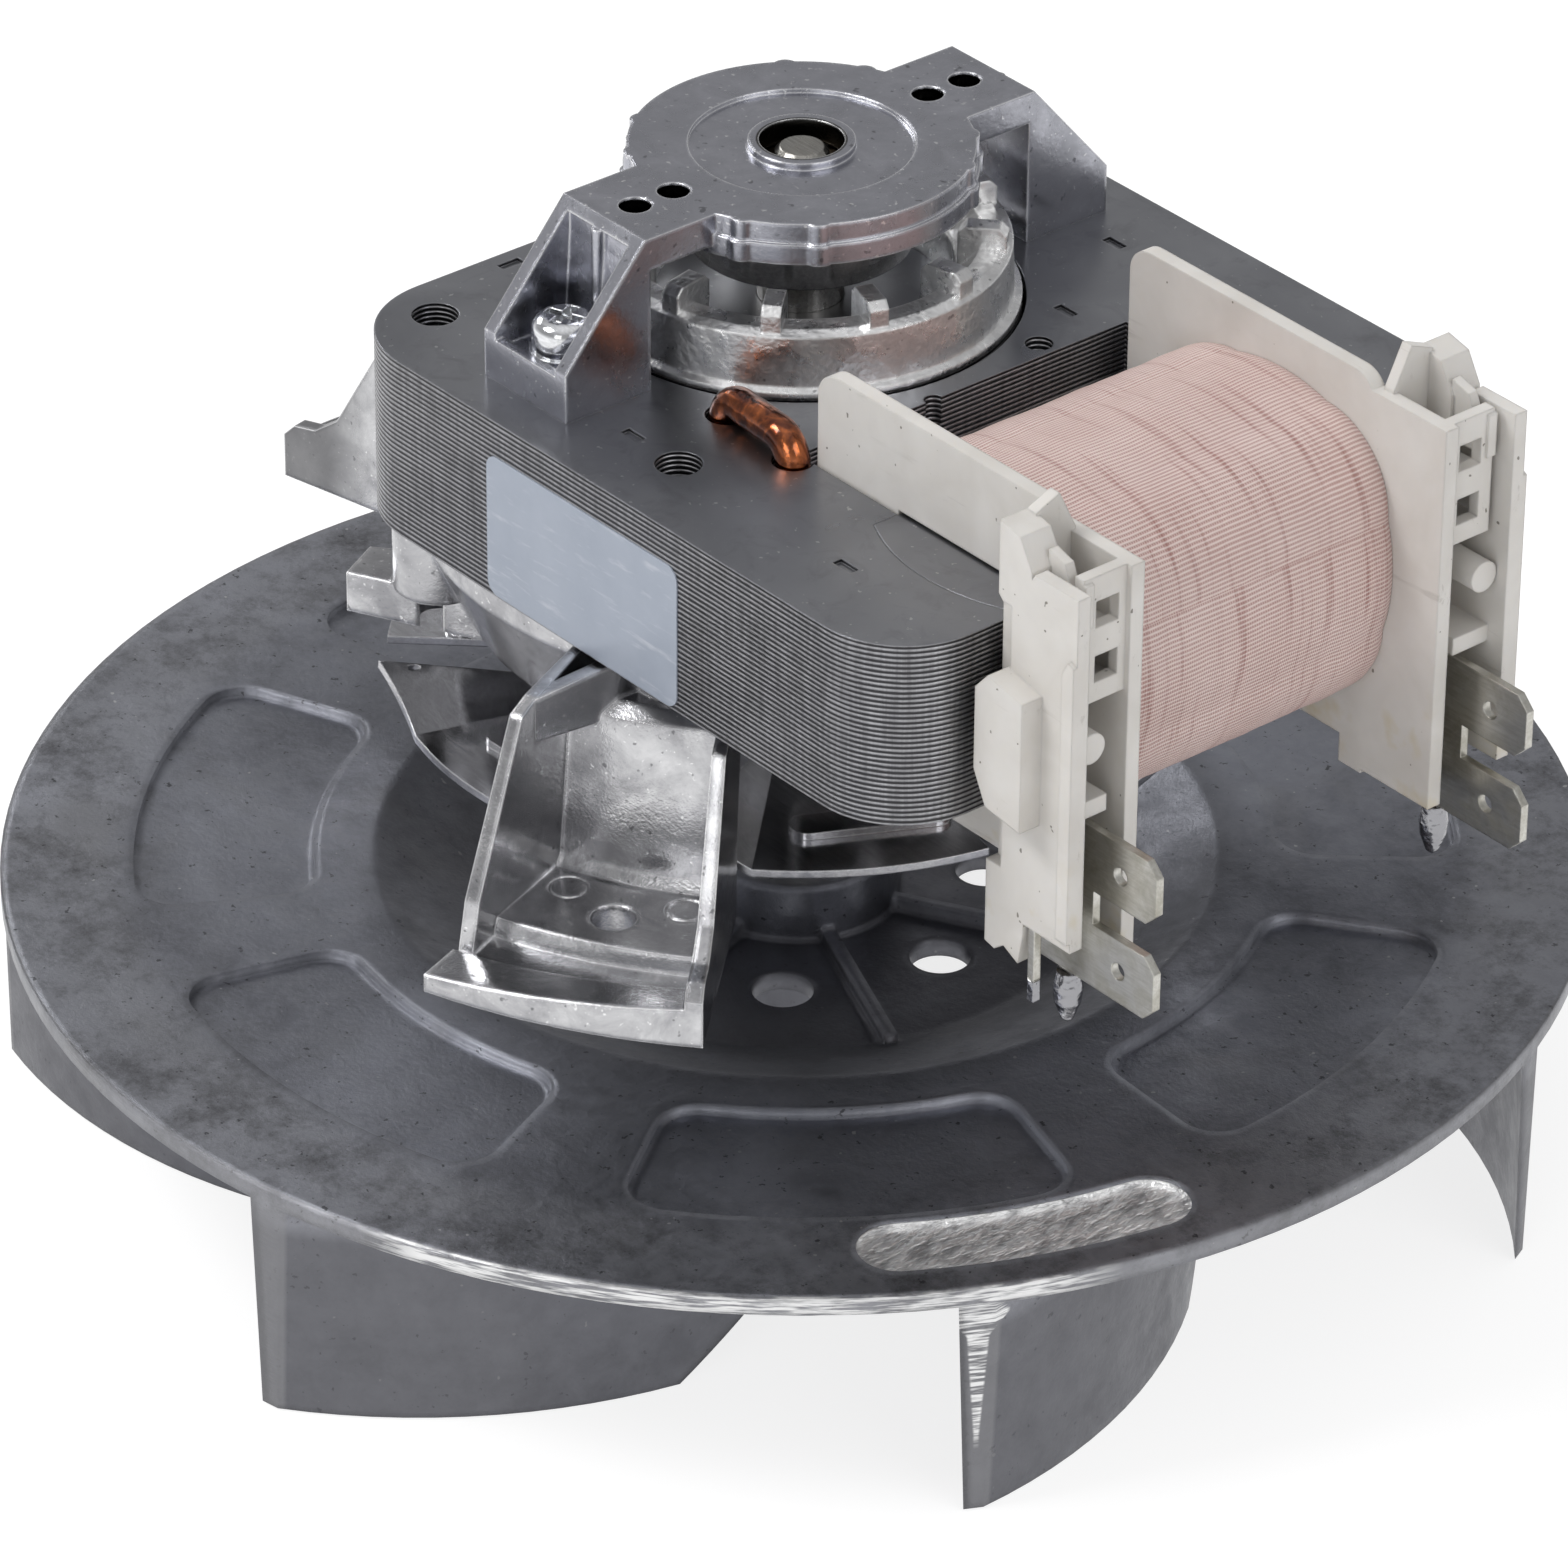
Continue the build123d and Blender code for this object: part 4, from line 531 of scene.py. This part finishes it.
def tinned_material():
    # Dull tinned tabs with a smooth, darker drop of solder at the tail.
    mat, tree, bsdf = new_material("tinned_brass")
    coords = object_coords(tree)
    place = axes(tree, coords)
    drawn = drawn_grain(tree, coords)
    stains = blotches(tree, coords, 3.0 * MM, 0.42, 0.68, 4.0, 0.6, 0.5)
    drop_x = between(tree, place["X"], *SOLDER_X, 0.2 * MM)
    drop_z = between(tree, place["Z"], *SOLDER_Z, 0.3 * MM)
    solder = times(tree, drop_x, drop_z)
    tint = mix(tree, map_range(tree, drawn, 0.3, 0.7), (0.50, 0.49, 0.45), (0.64, 0.63, 0.59))
    tint = stain(tree, tint, (0.27, 0.25, 0.19), stains, 0.55)
    tint = mix(tree, solder, tint, (0.33, 0.33, 0.345))
    rough = blend_value(tree, solder, map_range(tree, stains, 0.0, 1.0, 0.30, 0.44), 0.18)
    lumps = times(tree, cloud(tree, coords, 1.6 * MM, 2.0), solder)
    normal = bump(tree, drawn, 0.01 * MM, 0.4, soft_edges(tree, 0.2 * MM))
    normal = bump(tree, lumps, 0.5 * MM, 0.9, normal)
    finish_material(tree, bsdf, tint, rough, normal)
    return mat


def felt_material():
    # Brown felt, soaked with oil.
    mat, tree, bsdf = new_material("oiled_felt")
    coords = object_coords(tree)
    fibres = cloud(tree, coords, 0.3 * MM, 6.0, 0.7, 1.5)
    tint = mix(tree, fibres, (0.20, 0.16, 0.10), (0.46, 0.40, 0.30))
    finish_material(tree, bsdf, tint, 0.85, bump(tree, fibres, 0.15 * MM, 0.8), 0.0)
    return mat


def label_material():
    # Plain grey-blue film with faint wear and rubbed streaks.
    mat, tree, bsdf = new_material("plain_label")
    coords = object_coords(tree)
    clouds = blotches(tree, coords, 6.0 * MM, 0.3, 0.7, 4.0, 0.6)
    along = stretched(tree, coords, (0.15, 1.0, 1.0))
    rubbed = blotches(tree, along, 0.8 * MM, 0.58, 0.72, 4.0, 0.65)
    tint = mix(tree, clouds, (0.295, 0.33, 0.395), (0.345, 0.38, 0.445))
    tint = stain(tree, tint, (0.60, 0.62, 0.66), rubbed, 0.4)
    normal = bump(tree, clouds, 0.03 * MM, 0.5)
    finish_material(tree, bsdf, tint, map_range(tree, clouds, 0.0, 1.0, 0.30, 0.42), normal, 0.15)
    return mat


MATERIALS = {
    "stack": stack_material(),
    "impeller": impeller_material(),
    "plastic": plastic_material(),
    "winding": winding_material(),
    "copper": copper_material(),
    "label": label_material(),
    "felt": felt_material(),
    "tin": tinned_material(),
    "bracket": cast_metal(
        "bracket_casting", dark=(0.34, 0.34, 0.355), light=(0.68, 0.68, 0.69), blotch=5.0 * MM,
        rough=(0.13, 0.25), grain=0.30 * MM, grain_depth=0.025 * MM,
        edge=0.7 * MM, foot_shade_x=FOOT_SHADE_X, edge_highlight=0.7),
    "top": cast_metal(
        "top_casting", dark=(0.36, 0.365, 0.40), light=(0.52, 0.525, 0.575), blotch=4.0 * MM,
        rough=(0.17, 0.30), grain=0.4 * MM, grain_depth=0.02 * MM,
        edge=0.5 * MM, hole_shade=True, edge_highlight=0.7),
    "cage": cast_metal(
        "cage_casting", dark=(0.66, 0.66, 0.66), light=(0.96, 0.96, 0.96), blotch=1.8 * MM,
        rough=(0.24, 0.40), grain=0.45 * MM, grain_depth=0.05 * MM, lumps=0.32 * MM),
    "bush": cast_metal(
        "bush_casting", dark=(0.30, 0.30, 0.31), light=(0.5, 0.5, 0.5), blotch=3.0 * MM,
        rough=(0.3, 0.45), grain=0.4 * MM, grain_depth=0.04 * MM),
    "fan": sheet_metal(
        "fan_sheet", dark=(0.55, 0.55, 0.57), light=(0.70, 0.70, 0.72),
        rough=(0.16, 0.26), stain_tint=(0.22, 0.215, 0.215)),
    "zinc": sheet_metal(
        "zinc_plate", dark=(0.66, 0.67, 0.69), light=(0.84, 0.85, 0.87),
        rough=(0.10, 0.20), stain_tint=(0.50, 0.50, 0.44)),
    "shaft": sheet_metal(
        "ground_steel", dark=(0.30, 0.29, 0.27), light=(0.46, 0.45, 0.42),
        rough=(0.24, 0.36), stain_tint=(0.22, 0.19, 0.15)),
    "cup": sheet_metal(
        "pressed_cup", dark=(0.42, 0.42, 0.43), light=(0.60, 0.60, 0.61),
        rough=(0.20, 0.32), stain_tint=(0.30, 0.29, 0.27)),
    "dark": sheet_metal(
        "dark_steel", dark=(0.05, 0.05, 0.052), light=(0.10, 0.10, 0.10),
        rough=(0.32, 0.45), stain_tint=(0.16, 0.13, 0.10)),
    "bronze": sheet_metal(
        "sintered_bronze", dark=(0.12, 0.10, 0.075), light=(0.20, 0.165, 0.12),
        rough=(0.45, 0.60), stain_tint=(0.15, 0.11, 0.07)),
}

FINISH = {
    "stator_stack": "stack",
    "limb_core": "stack",
    "rotor_core": "stack",
    "shading_ring_front": "copper",
    "shading_ring_rear": "copper",
    "coil_bobbin": "plastic",
    "coil_winding": "winding",
    "terminal_near": "tin",
    "terminal_far": "tin",
    "winding_post_near": "tin",
    "winding_post_far": "tin",
    "top_bracket": "top",
    "top_bearing": "bronze",
    "top_bearing_cap": "cup",
    "top_felt": "felt",
    "lower_bracket": "bracket",
    "lower_bearing": "bronze",
    "lower_bearing_cap": "dark",
    "lower_felt": "felt",
    "bracket_screws": "zinc",
    "spring_washers": "zinc",
    "plain_washers": "zinc",
    "rotor_cage": "cage",
    "shaft": "shaft",
    "thrust_washer_top": "bronze",
    "thrust_washer_low": "bronze",
    "cooling_fan": "fan",
    "fan_bush": "bush",
    "impeller": "impeller",
    "nut_washer": "zinc",
    "impeller_nut": "zinc",
}

for node_name, finish in FINISH.items():
    mesh_slots = NODES[node_name].data.materials
    mesh_slots.clear()
    mesh_slots.append(MATERIALS[finish])


# Pieces

def new_object(name, data):
    made = bpy.data.objects.new(name, data)
    bpy.context.scene.collection.objects.link(made)
    return made


def make_piece(name, mesh, finish, body, smooth=True):
    made = new_object(name, mesh)
    mesh.materials.append(MATERIALS[finish])
    for polygon in mesh.polygons:
        polygon.use_smooth = smooth
    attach(made, body)
    return made


def write_mesh(build, mesh):
    bmesh.ops.recalc_face_normals(build, faces=build.faces)
    build.to_mesh(mesh)
    build.free()


def rounded_rectangle(half_x, half_z, radius, crown, corner_steps, side_steps):
    # Points round a rectangle with rounded corners and crowned sides, from its right side on,
    # anticlockwise.
    points = []
    for quarter in range(4):
        base = quarter * math.pi / 2
        end = base + math.pi / 2
        side_x = 1 if math.cos(base + math.pi / 4) > 0 else -1
        side_z = 1 if math.sin(base + math.pi / 4) > 0 else -1
        centre = Vector((side_x * (half_x - radius), side_z * (half_z - radius)))
        for step in range(corner_steps):
            angle = base + (math.pi / 2) * step / corner_steps
            points.append(centre + radius * Vector((math.cos(angle), math.sin(angle))))
        out = Vector((math.cos(end), math.sin(end)))
        along = Vector((-out.y, out.x))
        flat = 2 * ((half_x if quarter % 2 == 0 else half_z) - radius)
        for step in range(side_steps):
            share = step / side_steps
            lift = crown * 4 * share * (1 - share)
            points.append(centre + radius * out + along * (flat * share) + out * lift)
    return points


def winding_piece():
    # The wound coil: crowned sides, slightly uneven rows and ends that drop to the flanges.
    low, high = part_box("coil_winding")
    length = high.y - low.y
    centre_x = (low.x + high.x) / 2
    centre_z = (low.z + high.z) / 2
    half_x = (high.x - low.x) / 2 - COIL_CROWN - COIL_INSET
    half_z = (high.z - low.z) / 2 - COIL_CROWN - COIL_INSET
    section = rounded_rectangle(
        half_x, half_z, COIL_CORNER_R, COIL_CROWN, COIL_CORNER_STEPS, COIL_SIDE_STEPS)
    count = len(section)
    round_it = [0.0]
    for index in range(count):
        side = (section[(index + 1) % count] - section[index]).length
        round_it.append(round_it[-1] + side)

    mesh = bpy.data.meshes.new("winding_wrap")
    build = bmesh.new()
    layer = build.loops.layers.uv.new("wrap")
    across, along = COIL_RIPPLE_SCALE
    grid = []
    for row in range(COIL_ROWS + 1):
        share = row / COIL_ROWS
        y = low.y + length * share
        drop = COIL_END_DROP * max(0.0, 1 - min(share, 1 - share) / COIL_END_SHARE) ** 2
        line = []
        for point in section:
            ripple = noise.noise(Vector((point.x * across, y * along, point.y * across)))
            swell = 1 - (drop - COIL_RIPPLE * ripple) / point.length
            place = (centre_x + point.x * swell, y, centre_z + point.y * swell)
            line.append(build.verts.new(place))
        grid.append(line)
    for row in range(COIL_ROWS):
        for index in range(count):
            corners = ((index, row), (index, row + 1), (index + 1, row + 1), (index + 1, row))
            face = build.faces.new([grid[j][i % count] for i, j in corners])
            for loop, (i, j) in zip(face.loops, corners):
                loop[layer].uv = (round_it[i], length * j / COIL_ROWS)
    write_mesh(build, mesh)
    made = make_piece("winding_wrap", mesh, "winding", "stator")
    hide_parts("coil_winding")


def label_piece():
    # A thin blank film on the stack's side.
    face_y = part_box("stator_stack")[0].y
    mesh = bpy.data.meshes.new("blank_label")
    build = bmesh.new()
    r = LABEL_CORNER_R
    x0, x1 = LABEL_X[0] + r, LABEL_X[1] - r
    z0, z1 = LABEL_Z[0] + r, LABEL_Z[1] - r
    outline = []
    for quarter, (x, z) in enumerate(((x1, z1), (x0, z1), (x0, z0), (x1, z0))):
        for step in range(LABEL_CORNER_STEPS + 1):
            angle = math.radians(90 * (quarter + step / LABEL_CORNER_STEPS))
            outline.append((x + r * math.cos(angle), z + r * math.sin(angle)))
    front = [build.verts.new((x, face_y - LABEL_T, z)) for x, z in outline]
    back = [build.verts.new((x, face_y + LABEL_SINK, z)) for x, z in outline]
    build.faces.new(front)
    count = len(outline)
    for index in range(count):
        after = (index + 1) % count
        build.faces.new((front[index], front[after], back[after], back[index]))
    write_mesh(build, mesh)
    make_piece("blank_label", mesh, "label", "stator", smooth=False)


def fan_piece():
    # The sheet fan with each bent point swept in toward its start, to less than half its span.
    mesh = NODES["cooling_fan"].data.copy()
    pitch = 2 * math.pi / FAN_POINTS
    for vertex in mesh.vertices:
        radius = math.hypot(vertex.co.x, vertex.co.y)
        if radius < FAN_RING_R:
            continue
        angle = math.atan2(vertex.co.y, vertex.co.x)
        past = (math.radians(FAN_START_DEG) - angle) % pitch
        if past < math.radians(FAN_POINT_DEG):
            angle += past * (1 - FAN_POINT_SHARE)
            vertex.co.x = radius * math.cos(angle)
            vertex.co.y = radius * math.sin(angle)
    mesh.materials.clear()
    made = make_piece("bent_fan", mesh, "fan", "rotor", smooth=False)
    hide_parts("cooling_fan")


def shaft_piece():
    # The shaft with its end nearly level with the collar.
    mesh = NODES["shaft"].data.copy()
    for vertex in mesh.vertices:
        if vertex.co.z > SHAFT_END_Z:
            vertex.co.z += SHAFT_RISE
    mesh.materials.clear()
    made = make_piece("raised_shaft", mesh, "shaft", "rotor", smooth=False)
    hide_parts("shaft")


winding_piece()
label_piece()
fan_piece()
shaft_piece()


# Camera, light and stage

def make_camera():
    data = bpy.data.cameras.new("camera")
    data.lens = CAMERA_LENS
    data.sensor_width = CAMERA_SENSOR
    data.clip_start, data.clip_end = CAMERA_CLIP
    made = new_object("camera", data)
    made.location = CAMERA_TARGET - CAMERA_LOOK * CAMERA_DISTANCE
    roll = Matrix.Rotation(math.radians(CAMERA_ROLL_DEG), 4, "Z")
    turn = CAMERA_LOOK.to_track_quat("-Z", "Y").to_matrix().to_4x4()
    made.rotation_mode = "QUATERNION"
    made.rotation_quaternion = (turn @ roll).to_quaternion()
    bpy.context.scene.camera = made


def make_lamp(name, position, size, power):
    data = bpy.data.lights.new(name, "AREA")
    data.shape = "RECTANGLE"
    data.size, data.size_y = size
    data.energy = power
    made = new_object(name, data)
    made.location = position
    made.rotation_mode = "QUATERNION"
    made.rotation_quaternion = (LAMP_TARGET - Vector(position)).to_track_quat("-Z", "Y")


def floor_material():
    # White to the eye and in reflections, and still dimmed by the object's shadow.
    mat, tree, bsdf = new_material("pale_floor")
    clouds = cloud(tree, object_coords(tree), 0.3, 2.0)
    feed(tree, bsdf.inputs["Base Color"], mix(tree, clouds, (0.93, 0.93, 0.93), (0.95, 0.95, 0.95)))
    bsdf.inputs["Roughness"].default_value = 0.9
    bsdf.inputs["Specular IOR Level"].default_value = 0.0
    rays = add(tree, "ShaderNodeLightPath").outputs
    seen = math_node(tree, "MAXIMUM", rays["Is Camera Ray"], rays["Is Glossy Ray"])
    seen = math_node(tree, "MAXIMUM", seen, rays["Is Transmission Ray"])
    white = {"Color": (1.0, 1.0, 1.0, 1.0), "Strength": FLOOR_GLOW}
    glow = add(tree, "ShaderNodeEmission", white)
    share = times(tree, seen, FLOOR_GLOW_SHARE)
    both = add(tree, "ShaderNodeMixShader", {0: share, 1: bsdf.outputs[0], 2: glow.outputs[0]})
    feed(tree, tree.nodes["Material Output"].inputs["Surface"], both.outputs[0])
    return mat


def make_floor():
    mesh = bpy.data.meshes.new("floor")
    build = bmesh.new()
    bmesh.ops.create_grid(build, x_segments=4, y_segments=4, size=FLOOR_SIZE)
    build.to_mesh(mesh)
    build.free()
    mesh.materials.append(floor_material())
    made = new_object("floor", mesh)
    made.location.z = -FLOOR_DROP


def make_world():
    # A pale horizon, a darker band above it and a bright ceiling, for the metal to reflect.
    world = bpy.data.worlds.new("studio")
    bpy.context.scene.world = world
    world.use_nodes = True
    tree = world.node_tree
    back = tree.nodes["Background"]
    up = axes(tree, add(tree, "ShaderNodeTexCoord").outputs["Generated"])["Z"]
    ramp = add(tree, "ShaderNodeValToRGB", {0: map_range(tree, up, 0.0, 1.0)})
    stops = ramp.color_ramp.elements
    while len(stops) < len(WORLD_RAMP):
        stops.new(0.5)
    for stop, (place, grey) in zip(stops, WORLD_RAMP):
        stop.position = place
        stop.color = (grey, grey, grey * 1.01, 1.0)
    feed(tree, back.inputs["Color"], ramp.outputs[0])
    feed(tree, back.inputs["Strength"], WORLD_LEVEL)


bpy.context.scene.view_settings.view_transform = "Standard"
make_camera()
make_world()
make_floor()
for lamp in LAMPS:
    make_lamp(*lamp)
